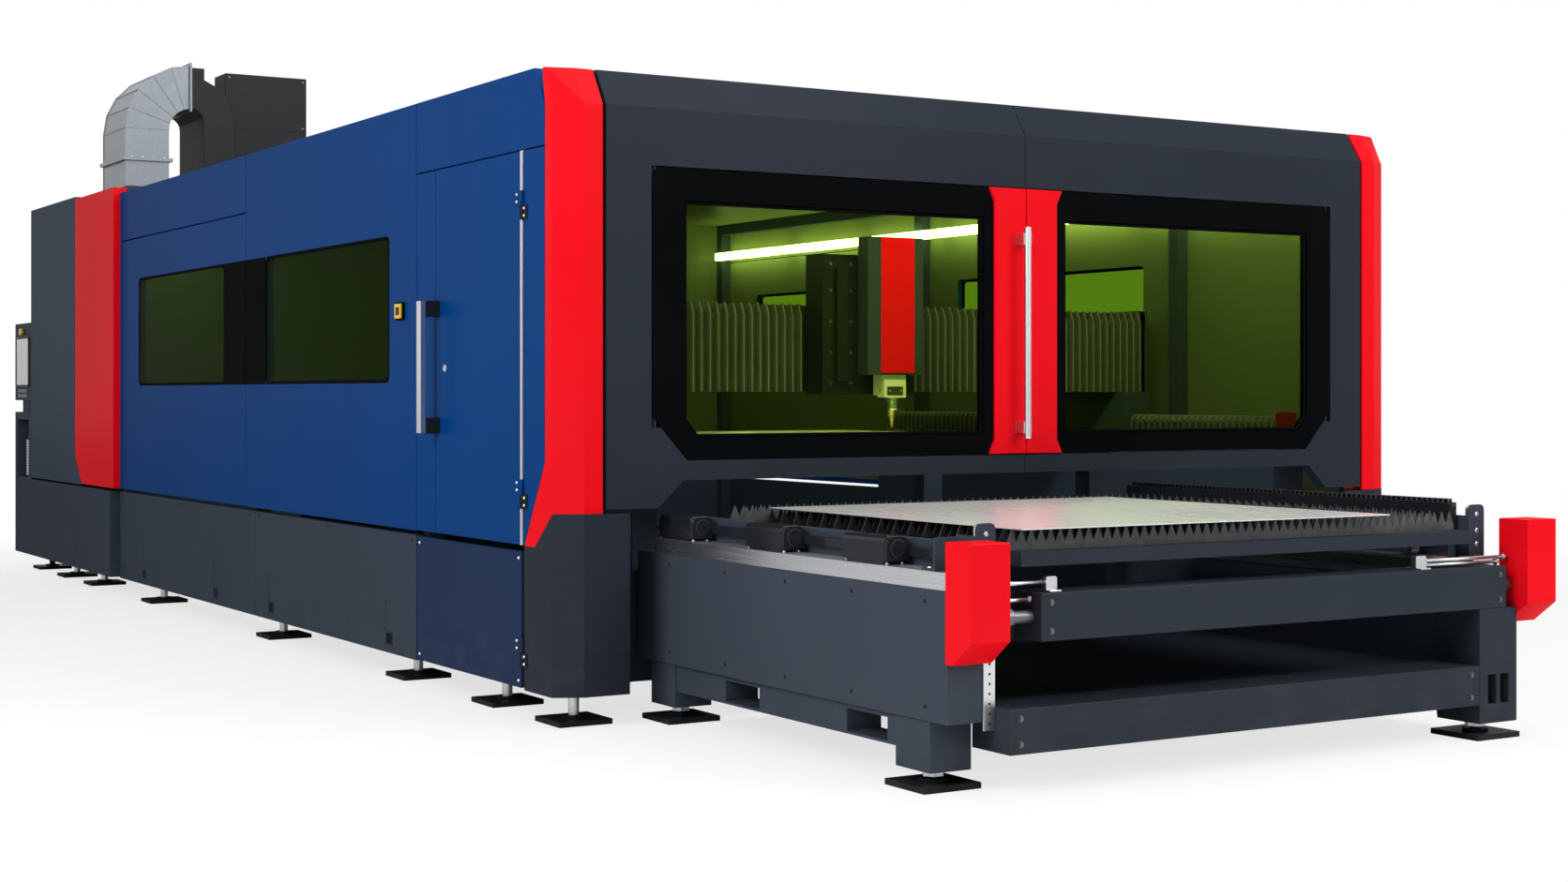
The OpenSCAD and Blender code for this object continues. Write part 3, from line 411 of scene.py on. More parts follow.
NODE_FINISH = {
    GRAY: "bed_frame cabin_frame kick_panels console head_cover gantry",
    FRONT_GRAY: "front_frames corner_bases",
    TABLE_GRAY: "table_sides",
    BEAM_GRAY: "table_beams outer_pallet inner_pallet",
    LINED_GRAY: "roof rear_cabinet",
    BLUE: "door_surround wall_panels_left wall_panels_right side_door",
    NAVY: "access_door",
    RED: "corner_posts rear_accents end_covers front_stile_left front_stile_right cover_strip",
    BLACK: "leveling_feet exhaust_fan guide_boxes hinges carriage",
    GLOSS_BLACK: "front_door_left front_door_right black_trim",
    GLASS: "front_glass_left front_glass_right",
    SIDE_GLASS: "side_windows",
    STEEL_Y: "rails table_rails",
    STEEL_X: "lift_hooks",
    STEEL_Z: "side_handle front_handle",
    DARK_STEEL: "drive_shaft outer_front_wheels outer_rear_wheels inner_front_wheels inner_rear_wheels",
    SLATS: "outer_slats inner_slats",
    SHEET: "outer_sheet inner_sheet",
    ZINC: "exhaust_duct",
    LIGHT: "light_strips",
    SCREEN: "console_screen",
    YELLOW: "door_button stop_button",
    HOSE: "hose_coil",
    CLOTH: "gantry_bellows rail_guards",
    WHITE: "head_body",
    BRASS: "nozzle",
}


def dress_nodes():
    """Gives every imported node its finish."""
    for finish, names in NODE_FINISH.items():
        for name in names.split():
            node = frame["nodes"][name]
            node.data.materials.clear()
            node.data.materials.append(finish)


ROUNDED = (
    "kick_panels corner_bases corner_posts front_frames door_surround wall_panels_left "
    "wall_panels_right side_door access_door rear_accents rear_cabinet console table_sides "
    "table_beams end_covers guide_boxes front_stile_left front_stile_right head_cover carriage "
    "gantry front_door_left front_door_right exhaust_fan side_handle cover_strip"
)
EDGE_ROUND = 3 * MM
WELD_GAP = 0.02 * MM
FLAT_DEG, EDGE_DEG = 1, 28


def round_edges():
    """The real edges are folded or ground, so the solids' sharp ones get a small radius."""
    for name in ROUNDED.split():
        node = frame["nodes"][name]
        weld = node.modifiers.new("weld", "WELD")
        weld.merge_threshold = WELD_GAP
        flat = node.modifiers.new("flat", "DECIMATE")
        flat.decimate_type = "DISSOLVE"
        flat.angle_limit = math.radians(FLAT_DEG)
        edge = node.modifiers.new("edge", "BEVEL")
        edge.width = EDGE_ROUND
        edge.segments = 2
        edge.limit_method = "ANGLE"
        edge.angle_limit = math.radians(EDGE_DEG)


# Mesh kit


def to_mesh(bm, name, smooth):
    """A mesh with one skin and its normals outwards."""
    bmesh.ops.remove_doubles(bm, verts=bm.verts, dist=0.01 * MM)
    bmesh.ops.recalc_face_normals(bm, faces=bm.faces)
    mesh = bpy.data.meshes.new(name)
    bm.to_mesh(mesh)
    bm.free()
    for polygon in mesh.polygons:
        polygon.use_smooth = smooth
    return mesh


def piece(name, shape, finish, body="machine", smooth=False, replaces=()):
    """A finished shape becomes a piece that rides on a body."""
    mesh = shape if isinstance(shape, bpy.types.Mesh) else to_mesh(shape, name, smooth)
    mesh.materials.clear()
    mesh.materials.append(finish)
    made = add(name, mesh)
    if body:
        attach(made, body)
    if replaces:
        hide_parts(*replaces)
    return made


def loft(bm, sections, closed=False):
    """Skins equal loops of points; the ends are capped unless the row of loops is closed."""
    rows = [[bm.verts.new(p) for p in section] for section in sections]
    pairs = list(zip(rows, rows[1:])) + ([(rows[-1], rows[0])] if closed else [])
    for a, b in pairs:
        for i in range(len(a)):
            j = (i + 1) % len(a)
            bm.faces.new((a[i], a[j], b[j], b[i]))
    if not closed:
        bm.faces.new(rows[0])
        bm.faces.new(rows[-1])


def block(bm, low, high, edge=2 * MM):
    """A box with all edges rounded off."""
    low, high = Vector(low), Vector(high)
    verts = bmesh.ops.create_cube(bm, size=1)["verts"]
    for v in verts:
        v.co = (low + high) / 2 + Vector(c * s for c, s in zip(v.co, high - low))
    edges = list(dict.fromkeys(e for v in verts for e in v.link_edges))
    bmesh.ops.bevel(bm, geom=edges, offset=edge, segments=2, affect="EDGES", profile=0.5)


def spun(bm, centre, along, profile, sides=20):
    """A turned form: profile is a list of (distance along the axis, radius) in millimetres."""
    centre, along = Vector(centre), along.normalized()
    u = along.orthogonal().normalized()
    v = along.cross(u)
    angles = [2 * math.pi * i / sides for i in range(sides)]
    turns = [math.cos(a) * u + math.sin(a) * v for a in angles]
    loft(bm, [[centre + along * (d * MM) + r * MM * turn for turn in turns] for d, r in profile])


def offset_loop(points, gap):
    """A convex plane loop moved outwards by gap; points are pairs in turning order."""
    area = sum(a[0] * b[1] - a[1] * b[0] for a, b in zip(points, points[1:] + points[:1]))
    side = 1 if area > 0 else -1
    moved = []
    for i, p in enumerate(points):
        before, after = points[i - 1], points[(i + 1) % len(points)]
        a = Vector((p[0] - before[0], p[1] - before[1])).normalized()
        b = Vector((after[0] - p[0], after[1] - p[1])).normalized()
        na, nb = Vector((a.y, -a.x)) * side, Vector((b.y, -b.x)) * side
        corner = (na + nb) / (1 + na.dot(nb))
        moved.append((p[0] + gap * corner.x, p[1] + gap * corner.y))
    return moved


def on_x(level, loop):
    """A (y, z) loop at one x."""
    return [(level, y, z) for y, z in loop]


def on_y(level, loop):
    """An (x, z) loop at one y."""
    return [(x, level, z) for x, z in loop]


BEAD_STEPS = ((0, 0), (0, 0.7), (0.25, 1), (0.75, 1), (1, 0.7), (1, 0))


def bead(bm, loop, plane, base, out, width, depth):
    """A raised rubber bead along a closed plane loop; out is the way it stands off its base."""
    rings = [plane(base + out * h * depth, offset_loop(loop, w * width)) for w, h in BEAD_STEPS]
    loft(bm, rings, closed=True)


def quarter(x, y, radius, turn, steps):
    """A quarter circle about a centre, from a turn in degrees."""
    angles = [math.radians(turn + 90 * i / steps) for i in range(steps + 1)]
    return [(x + radius * math.cos(a), y + radius * math.sin(a)) for a in angles]


def round_loop(low, high, radius, steps=6):
    """A plane rectangle with rounded corners."""
    left, right = low[0] + radius, high[0] - radius
    foot, top = low[1] + radius, high[1] - radius
    centres = ((right, top), (left, top), (left, foot), (right, foot))
    return [p for i, c in enumerate(centres) for p in quarter(*c, radius, 90 * i, steps)]


def upright(bm, low, high, front, thick, radius, edge=1.5 * MM):
    """A plate or shell that faces the front, with rounded upper corners and broken edges."""
    top = high[1] - radius
    loop = [low, (high[0], low[1])]
    loop += quarter(high[0] - radius, top, radius, 0, 5)
    loop += quarter(low[0] + radius, top, radius, 90, 5)
    depths = ((front, edge), (front + edge, 0), (front + thick - edge, 0), (front + thick, edge))
    loft(bm, [on_y(y, offset_loop(loop, -inset)) for y, inset in depths])


# Geometry Nodes kit for what repeats


class Grower(Tree):
    """A Geometry Nodes tree that sets a shape on every point of a seed."""

    def __init__(self, name, finish, **sizes):
        super().__init__(bpy.data.node_groups.new(name, "GeometryNodeTree"))
        self.finish = finish
        face = self.tree.interface
        for way in ("OUTPUT", "INPUT"):
            face.new_socket("Geometry", in_out=way, socket_type="NodeSocketGeometry")
        self.ids = {}
        for key, value in sizes.items():
            socket = face.new_socket(key, in_out="INPUT", socket_type="NodeSocketFloat")
            socket.default_value = value
            self.ids[key] = socket.identifier
        entry = self.tree.nodes.new("NodeGroupInput")
        self.points = Wire(self, entry.outputs["Geometry"])
        self.sizes = [Wire(self, entry.outputs[key]) for key in sizes]

    def post(self, sides, radius, depth):
        """A cylinder or prism along Z."""
        inputs = {"Vertices": sides, "Radius": radius, "Depth": depth}
        return self.node("GeometryNodeMeshCylinder", inputs=inputs)

    def spread(self, *parts):
        """Sets the parts on every point, with Z along the point's facing, and closes the tree."""
        joined = self.tree.nodes.new("GeometryNodeJoinGeometry")
        for part in reversed(parts):
            self.tree.links.new(part.socket, joined.inputs[0])
        shape = Wire(self, joined.outputs[0])
        kind = {"data_type": "FLOAT_VECTOR"}
        facing = self.node("GeometryNodeInputNamedAttribute", kind, {"Name": "facing"})
        turn = self.node("FunctionNodeAlignRotationToVector", {"axis": "Z"}, {"Vector": facing})
        inputs = {"Points": self.points, "Instance": shape, "Rotation": turn}
        placed = self.node("GeometryNodeInstanceOnPoints", inputs=inputs)
        real = self.node("GeometryNodeRealizeInstances", inputs={0: placed})
        inputs = {"Geometry": real, "Material": self.finish}
        painted = self.node("GeometryNodeSetMaterial", inputs=inputs)
        self.node("NodeGroupOutput", inputs={0: painted})
        return self

    def grow(self, name, places, body="machine", slot=None, **sizes):
        """places are (point, facing) pairs; the result is a plain mesh on a body."""
        mesh = bpy.data.meshes.new(name)
        mesh.from_pydata([point for point, _ in places], [], [])
        facing = mesh.attributes.new("facing", "FLOAT_VECTOR", "POINT")
        facing.data.foreach_set("vector", [c for _, way in places for c in way])
        seed = add(name + "_seed", mesh)
        modifier = seed.modifiers.new("grow", "NODES")
        modifier.node_group = self.tree
        for key, value in sizes.items():
            modifier[self.ids[key]] = value
        depsgraph = bpy.context.evaluated_depsgraph_get()
        grown = bpy.data.meshes.new_from_object(seed.evaluated_get(depsgraph))
        bpy.data.objects.remove(seed)
        return piece(name, grown, self.finish, body)


def bolts(finish):
    """A washer and a hexagon head."""
    g = Grower("bolt", finish, radius=0.010, height=0.006)
    radius, height = g.sizes
    return g.spread(g.post(16, radius, height * 0.5), g.post(6, radius * 0.72, height * 2.0))


def button_heads(finish):
    """A low domed screw head with a hexagon recess rim."""
    g = Grower("button_head", finish, radius=0.007, height=0.003)
    radius, height = g.sizes
    cone = {"Vertices": 14, "Radius Top": radius * 0.6, "Radius Bottom": radius, "Depth": height}
    dome = g.node("GeometryNodeMeshCone", inputs=cone)
    return g.spread(dome, g.post(6, radius * 0.42, height * 2.3))


def chain_links(finish):
    """One pitch of roller chain: two side plates and a roller, with its Z along the chain."""
    g = Grower("chain_link", finish, pitch=0.025)
    (pitch,) = g.sizes
    sides = {0: pitch * 0.12, 1: pitch * 0.62, 2: pitch * 0.94}
    size = g.node("ShaderNodeCombineXYZ", inputs=sides)
    plate = g.node("GeometryNodeMeshCube", inputs={"Size": size})
    parts = []
    for side in (-0.33, 0.33):
        move = g.node("ShaderNodeCombineXYZ", inputs={0: pitch * side})
        inputs = {"Geometry": plate, "Translation": move}
        parts.append(g.node("GeometryNodeTransform", inputs=inputs))
    inputs = {"Geometry": g.post(10, pitch * 0.27, pitch * 0.78), "Rotation": (0, math.pi / 2, 0)}
    parts.append(g.node("GeometryNodeTransform", inputs=inputs))
    return g.spread(*parts)


def posts(finish, sides):
    """A round stud or a hexagon nut that stands along its facing."""
    g = Grower("post", finish, radius=0.02, height=0.02)
    return g.spread(g.post(sides, *g.sizes))


BOLTS = bolts(DARK_STEEL)
BRIGHT_BOLTS = bolts(STEEL_Z)
BUTTONS = button_heads(BLACK)
BRIGHT_BUTTONS = button_heads(STEEL_Z)
LINKS = chain_links(DARK_STEEL)
NUTS = posts(STEEL_Z, 6)
STUDS = posts(STEEL_Z, 18)


# Pieces on the cabin

BEAD_W = 14 * MM
WINDOW_LEN = 1.697


def window_beads():
    """Rubber beads that hold the glazing."""
    lo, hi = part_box("side_windows")
    low_z, high_z = lo.z + BEAD_W, hi.z - BEAD_W
    bm = bmesh.new()
    for y in (lo.y, hi.y - WINDOW_LEN):
        loop = round_loop((y + BEAD_W, low_z), (y + WINDOW_LEN - BEAD_W, high_z), 22 * MM)
        bead(bm, loop, on_x, SIDE_X + 2 * MM, -0.8, BEAD_W, 3 * MM)
        bead(bm, loop, on_x, SIDE_R - 2 * MM, 0.8, BEAD_W, 3 * MM)
    piece("side_window_beads", bm, GLOSS_BLACK)


GLASS_CUT_X, GLASS_CUT_Z = 55 * MM, 68 * MM


def front_beads():
    """Rubber beads inside the front doors' glazing, with the cut lower corner."""
    for side in ("left", "right"):
        lo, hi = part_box("front_glass_" + side)
        loop = [(lo.x, lo.z + GLASS_CUT_Z), (lo.x + GLASS_CUT_X, lo.z)]
        loop += [(hi.x, lo.z), (hi.x, hi.z), (lo.x, hi.z)]
        if side == "right":
            loop = [(lo.x + hi.x - x, z) for x, z in loop]
        bm = bmesh.new()
        bead(bm, offset_loop(loop, -BEAD_W), on_y, lo.y, -1, BEAD_W, 8 * MM)
        piece("front_bead_" + side, bm, GLOSS_BLACK, side + "_leaf")


STILE_CUT = 30 * MM
FLARE_H, FLARE_W = 56 * MM, 26 * MM


def stile_flares():
    """Flared outer corners of the red meeting stiles."""
    for side, edge, inward in (("left", 0, 1), ("right", 1, -1)):
        lo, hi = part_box("front_stile_" + side)
        x = (lo, hi)[edge].x
        bm = bmesh.new()
        for z, down in ((hi.z, -1), (lo.z, 1)):
            plan = [(x, z + down * FLARE_H), (x, z + down * STILE_CUT)]
            plan += [(x + inward * STILE_CUT, z), (x - inward * FLARE_W, z)]
            loft(bm, [on_y(y, plan) for y in (lo.y, hi.y)])
        piece("stile_flares_" + side, bm, RED, side + "_leaf")


HINGE_R = 9 * MM
HINGE_Y = at_y(314)
HINGE_BAR_R = 6
JAMB_EDGE, DOOR_EDGE = at_y(303), at_y(327)


def hinge_strip():
    """The bright jamb profile and the hinge bar that show in the service door's hinge gap."""
    lo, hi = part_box("side_door")
    y0, y1 = JAMB_EDGE + 1 * MM, DOOR_EDGE - 2 * MM
    bm = bmesh.new()
    block(bm, (SIDE_X + 12 * MM, y0, lo.z), (SIDE_X + 22 * MM, y1, hi.z), 1 * MM)
    block(bm, (SIDE_X + 7 * MM, y0, lo.z), (SIDE_X + 13 * MM, y0 + 8 * MM, hi.z), 1 * MM)
    axis = (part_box("hinges")[0].x + HINGE_R, HINGE_Y, lo.z)
    spun(bm, axis, Z, [(0, HINGE_BAR_R), ((hi.z - lo.z) / MM, HINGE_BAR_R)], 12)
    piece("hinge_strip", bm, STEEL_Z)


PULL_Y = (1710, 3320, 4251, 5663)
PULL_LOW, PULL_HIGH, PULL_HALF = 153 * MM, 209 * MM, 33 * MM
CUP_RIM = 4 * MM


def pull_cups():
    """Black cups in the lower third of the flush pulls."""
    bm = bmesh.new()
    for y in PULL_Y:
        y0, y1 = at_y(y) - PULL_HALF, at_y(y) + PULL_HALF
        loop = round_loop((y0, PULL_LOW + CUP_RIM), (y1, PULL_HIGH - CUP_RIM), 6 * MM, 3)
        bead(bm, loop, on_x, SIDE_X + CUP_RIM, -1, CUP_RIM, 3 * MM)
        bead(bm, loop, on_x, SIDE_R - CUP_RIM, 1, CUP_RIM, 3 * MM)
    piece("pull_cups", bm, RUBBER)


KICK_SCREW_Y = (1440, 2480, 3510, 3660, 4900, 6150)
HINGE_SCREWS = (
    ("hinge_screws", 286, (810, 1910, 207), "machine"),
    ("door_hinge_screws", 352, (866, 1966), "side_door"),
    ("access_hinge_screws", 352, (263,), "access_door"),
)


def panel_screws():
    """Screws on hinges, panels and the service covers."""
    lo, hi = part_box("access_door")
    inset = 26 * MM
    levels = (lo.z + inset, hi.z - inset)
    rows = [((SIDE_X, y, z), -X) for y in (DOOR_EDGE + inset, hi.y - inset) for z in levels]
    BRIGHT_BUTTONS.grow("access_screws", rows, "access_door")
    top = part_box("kick_panels")[1].z - 22 * MM
    sides = ((SIDE_X, -X), (SIDE_R, X))
    rows = [((x, at_y(y), top), out) for y in KICK_SCREW_Y for x, out in sides]
    BUTTONS.grow("kick_screws", rows)
    leaf_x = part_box("hinges")[0].x + 5 * MM
    for name, y, feet, body in HINGE_SCREWS:
        rows = [((leaf_x, at_y(y), (z + dz) * MM), -X) for z in feet for dz in (14, 42)]
        BRIGHT_BUTTONS.grow(name, rows, body, radius=6 * MM)


LOCK = Vector((SIDE_X, at_y(1075), 1.352))
LOCK_PROFILE = ((-2, 15), (3, 15), (5, 12), (5, 9), (3.5, 8))
KEY_LOW, KEY_HIGH = Vector((-5, -1.2, -5)) * MM, Vector((-3, 1.2, 5)) * MM


def door_lock():
    """Lock cylinder with a key slot beside the service door's handle."""
    bm = bmesh.new()
    spun(bm, LOCK, -X, LOCK_PROFILE)
    piece("door_lock", bm, STEEL_Z, "side_door")
    bm = bmesh.new()
    block(bm, LOCK + KEY_LOW, LOCK + KEY_HIGH, 0.4 * MM)
    piece("key_slot", bm, RUBBER, "side_door")


BRACKET_LEN = 62 * MM
BRACKET_LAP = 2 * MM
HANDLE_CAP = ((0, 15.4), (3, 15.4), (6, 12), (7, 6))


def handle_feet():
    """Black end brackets of the service door's bar handle, and the front handle's caps."""
    lo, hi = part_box("side_handle")
    bm = bmesh.new()
    for z0, z1 in ((lo.z, lo.z + BRACKET_LEN), (hi.z - BRACKET_LEN, hi.z)):
        low = (lo.x + 25.5 * MM, lo.y + BRACKET_LAP, z0 - BRACKET_LAP)
        block(bm, low, (hi.x, hi.y - BRACKET_LAP, z1 + BRACKET_LAP), 4 * MM)
    piece("side_handle_feet", bm, BLACK, "side_door")
    lo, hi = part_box("front_handle")
    bm = bmesh.new()
    for z, up in ((lo.z, -Z), (hi.z, Z)):
        centre = Vector(((lo.x + hi.x) / 2, lo.y + 15 * MM, z))
        spun(bm, centre - up * 2 * MM, up, HANDLE_CAP)
    piece("front_handle_caps", bm, STEEL_Z, "left_leaf", smooth=True)


def button_insert():
    """Black centre of the yellow door button."""
    lo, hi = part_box("door_button")
    y, z = (lo.y + hi.y) / 2, (lo.z + hi.z) / 2
    half = 17 * MM
    bm = bmesh.new()
    low = (lo.x - 3 * MM, y - half, z - half)
    block(bm, low, (lo.x + 1 * MM, y + half, z + half), 1.5 * MM)
    piece("button_insert", bm, RUBBER, "door_button")


# Pieces on the roof and the rear

DUCT_STEPS = 5
DUCT_W = 295 * MM
DUCT_BEND = 155 * MM
DUCT_FLANGE = 22 * MM
DUCT_JOINT = 201 * MM
FLANGE_BOLTS = 4
SEAM_OUT = 4 * MM
SEAM_T = 3.5 * MM


def duct_seams():
    """Standing seams between the elbow's segments, folded corner seams, and the flange bolts."""
    lo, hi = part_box("exhaust_duct")
    low_y, high_y = lo.y + DUCT_FLANGE, hi.y - DUCT_FLANGE
    left = lo.x + DUCT_FLANGE
    pivot = Vector((hi.x, 0, hi.z - DUCT_FLANGE - DUCT_W - DUCT_BEND))
    turns = [math.radians(180 - 90 * i / DUCT_STEPS) for i in range(DUCT_STEPS + 1)]
    ways = [Vector((math.cos(a), 0, math.sin(a))) for a in turns]
    r0, r1 = DUCT_BEND, DUCT_BEND + DUCT_W
    inner = [(r0, low_y), (r1, low_y), (r1, high_y), (r0, high_y)]
    outer = offset_loop(inner, SEAM_OUT)
    bm = bmesh.new()
    for out in ways[:-1]:
        side = Vector((-out.z, 0, out.x)) * SEAM_T / 2
        edges = ((outer, -1), (outer, 1), (inner, 1), (inner, -1))
        rings = [[pivot + out * r + Y * y + side * s for r, y in loop] for loop, s in edges]
        loft(bm, rings, closed=True)
    spine = [(Vector((left, 0, lo.z + 24 * MM)), -X)]
    spine += [(pivot + out * r1, out) for out in ways]
    for y, out_y in ((low_y, -Y), (high_y, Y)):
        rows = []
        for p, out in spine:
            steps = (-out, out, out + out_y, out_y - out)
            rows.append([p + Y * y + step * SEAM_OUT for step in steps])
        loft(bm, rows)
    piece("duct_seams", bm, ZINC)
    half = DUCT_FLANGE / 2
    z = pivot.z - DUCT_JOINT
    rows = []
    for k in range(FLANGE_BOLTS):
        t = (k + 0.5) / FLANGE_BOLTS
        x, y = left + t * DUCT_W, low_y + t * (high_y - low_y)
        rows += [((x, low_y - half, z), Z), ((x, high_y + half, z), Z)]
        rows += [((left - half, y, z), Z), ((left + DUCT_W + half, y, z), Z)]
    BRIGHT_BOLTS.grow("duct_bolts", rows, radius=9 * MM, height=4 * MM)


FAN_W = 600 * MM
FAN_BACK = 355 * MM
FAN_SEAM = 393 * MM
FAN_INSET = 28 * MM


def fan_details():
    """Folded seam and corner screws on the fan housing."""
    lo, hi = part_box("exhaust_fan")
    left, front = hi.x - FAN_W, lo.y + FAN_BACK
    z = hi.z - FAN_SEAM
    z0, z1 = z - 3 * MM, z + 3 * MM
    bm = bmesh.new()
    block(bm, (left, front - 2 * MM, z0), (hi.x, front, z1), 0.8 * MM)
    block(bm, (hi.x - 1 * MM, front, z0), (hi.x + 2 * MM, hi.y, z1), 0.8 * MM)
    piece("fan_seam", bm, BLACK)
    levels = (hi.z - FAN_INSET, z + FAN_INSET)
    rows = [((x, front, h), -Y) for x in (left + FAN_INSET, hi.x - FAN_INSET) for h in levels]
    BOLTS.grow("fan_bolts", rows, slot="black_metal", radius=7 * MM, height=3 * MM)


KEY_COLUMNS, KEY_ROWS = 8, 2
KEY_PITCH, KEY_HALF, KEY_DROP = 34 * MM, 12 * MM, 44 * MM


def console_parts():
    """Screen bezel and key rows of the operator console."""
    lo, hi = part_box("console_screen")
    loop = [(lo.y, lo.z), (hi.y, lo.z), (hi.y, hi.z), (lo.y, hi.z)]
    bm = bmesh.new()
    bead(bm, loop, on_x, hi.x, -1, 18 * MM, 10 * MM)
    piece("screen_bezel", bm, RUBBER)
    bm = bmesh.new()
    for c in range(KEY_COLUMNS):
        y = (lo.y + hi.y) / 2 + (c - (KEY_COLUMNS - 1) / 2) * KEY_PITCH
        for r in range(KEY_ROWS):
            z = lo.z - KEY_DROP - r * KEY_PITCH
            low = (hi.x - 5 * MM, y - KEY_HALF, z - KEY_HALF)
            block(bm, low, (hi.x + 1 * MM, y + KEY_HALF, z + KEY_HALF))
    piece("console_keys", bm, KEY_GRAY)


COIL_TURNS = 15
COIL_POINTS = 16
HOSE_D = 12 * MM
NICHE_TOP = 1.064
LEAD_STRAIGHT = 36 * MM
LEAD_BEND = 110 * MM
LEAD_POINTS = 12


def coiled_hose():
    """The curly hose in the console's niche: down from the ceiling, in even turns, to the floor."""
    lo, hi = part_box("hose_coil")
    centre = (lo + hi) / 2
    radius = (hi.x - lo.x) / 2 - HOSE_D / 2
    start = Vector((centre.x + radius, centre.y, NICHE_TOP))
    bend_top = NICHE_TOP - LEAD_STRAIGHT
    top, low = bend_top - LEAD_BEND, lo.z + HOSE_D / 2
    steps = COIL_TURNS * COIL_POINTS
    marks = []
    for i in range(LEAD_POINTS + 1):
        a = math.radians(90) * i / LEAD_POINTS
        marks.append((LEAD_BEND * (1 - math.cos(a)), bend_top - LEAD_BEND * math.sin(a)))
    for i in range(1, steps + 1):
        arc = LEAD_BEND + 2 * math.pi * radius * i / COIL_POINTS
        marks.append((arc, top + (low - top) * i / steps))
    points = [start, start - LEAD_STRAIGHT / 2 * Z]
    for arc, z in marks:
        a = arc / radius
        points.append(Vector((centre.x + radius * math.cos(a), centre.y + radius * math.sin(a), z)))
    curve = bpy.data.curves.new("coiled_hose", "CURVE")
    curve.dimensions = "3D"
    curve.bevel_depth = HOSE_D / 2
    curve.bevel_resolution = 3
    curve.use_fill_caps = True
    line = curve.splines.new("POLY")
    line.points.add(len(points) - 1)
    for target, p in zip(line.points, points):
        target.co = (*p, 1)
    curve.materials.append(HOSE)
    hose = add("coiled_hose", curve)
    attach(hose, "machine")
    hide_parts("hose_coil")


# Pleated covers along the axes

STRETCH_SHARES = (0, 0.05, 0.2, 0.8, 0.95, 1)
PLEAT = 45 * MM
PLEAT_DEPTH = 20 * MM


def pleated(name, loops, along, start, end, node):
    """Pleated cloth along one axis, cut into lengths at set shares of its span.

    loops are the closed loops of points at 0, for a valley and for a ridge."""
    span = end - start
    halves = 2 * max(4, round(abs(span) / PLEAT))
    for k, (a, b) in enumerate(zip(STRETCH_SHARES, STRETCH_SHARES[1:])):
        first, last = round(a * halves), round(b * halves)
        rows = []
        for i in range(first, last + 1):
            rows.append([Vector(p) + along * (start + span * i / halves) for p in loops[i % 2]])
        bm = bmesh.new()
        loft(bm, rows)
        # The ridge attribute is 1 on the ridges and 0 in the valleys; the cloth finish paints shade in
        # the valleys and a highlight on the ridges from it.
        ridge = bm.verts.layers.float.new(RIDGE)
        bm.verts.ensure_lookup_table()
        for i, row in enumerate(rows):
            for j in range(len(row)):
                bm.verts[i * len(row) + j][ridge] = (first + i) % 2
        cloth = piece(f"{name}_{k + 1}", bm, CLOTH, None)
        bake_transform(cloth)
    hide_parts(node)


BELLOWS_BEVEL = 55 * MM


def gantry_cloth():
    """Bellows on both sides of the carriage, with bevelled top corners."""
    lo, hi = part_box("gantry_bellows")
    left, right = (corner.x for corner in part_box("carriage"))
    loops = []
    for inset in (PLEAT_DEPTH, 0):
        front, top = lo.y + inset, hi.z - inset * 0.7
        loop = [(hi.y, lo.z), (front, lo.z), (front, top - BELLOWS_BEVEL)]
        loop += [(front + BELLOWS_BEVEL * 0.45, top), (hi.y, top)]
        loops.append(on_x(0, loop))
    pleated("bellows_left", loops, X, lo.x, left, "gantry_bellows")
    pleated("bellows_right", loops, X, right, hi.x, "gantry_bellows")


TRUCK_FRONT, TRUCK_BACK = at_y(1390), at_y(1910)
GUARD_W = 120 * MM
GUARD_BEVEL = 18 * MM


def rail_cloth():
    """Folded covers over the longitudinal rails, in front of and behind the gantry's trucks."""
    lo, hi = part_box("rail_guards")
    for side, low_x in (("left", lo.x), ("right", hi.x - GUARD_W)):
        loops = []
        for drop, inset in ((PLEAT_DEPTH, 6 * MM), (0, 0)):
            x0, x1, top = low_x + inset, low_x + GUARD_W - inset, hi.z - drop
            loop = [(x0, lo.z), (x0, top - GUARD_BEVEL), (x0 + GUARD_BEVEL, top)]
            loop += [(x1 - GUARD_BEVEL, top), (x1, top - GUARD_BEVEL), (x1, lo.z)]
            loops.append(on_y(0, loop))
        front, rear = "rail_cover_front_" + side, "rail_cover_rear_" + side
        pleated(front, loops, Y, lo.y, TRUCK_FRONT, "rail_guards")
        pleated(rear, loops, Y, TRUCK_BACK, hi.y, "rail_guards")


# Pieces on the gantry, carriage and head

CARRIAGE_BOLT_ROWS = (0.08, 0.3, 0.52, 0.74, 0.93)


def carriage_bolts():
    """Bolts down both edges of the carriage plate, and the cable cover between them."""
    lo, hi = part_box("carriage")
    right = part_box("head_cover")[0].x
    levels = [lo.z + t * (hi.z - lo.z) for t in CARRIAGE_BOLT_ROWS]
    rows = [((x, lo.y, z), -Y) for x in (lo.x + 45 * MM, right - 40 * MM) for z in levels]
    BOLTS.grow("carriage_bolts", rows, "carriage", radius=9 * MM)
    bm = bmesh.new()
    low = (lo.x + 70 * MM, lo.y - 22 * MM, lo.z + 60 * MM)
    block(bm, low, (right - 65 * MM, lo.y, hi.z - 60 * MM), 5 * MM)
    piece("carriage_cable_cover", bm, BLACK, "carriage")


CHEEK_STEP = 14 * MM
CHEEK_BACK = 52 * MM
CHEEK_FLAT = 50 * MM
CHEEK_OUT = 5 * MM


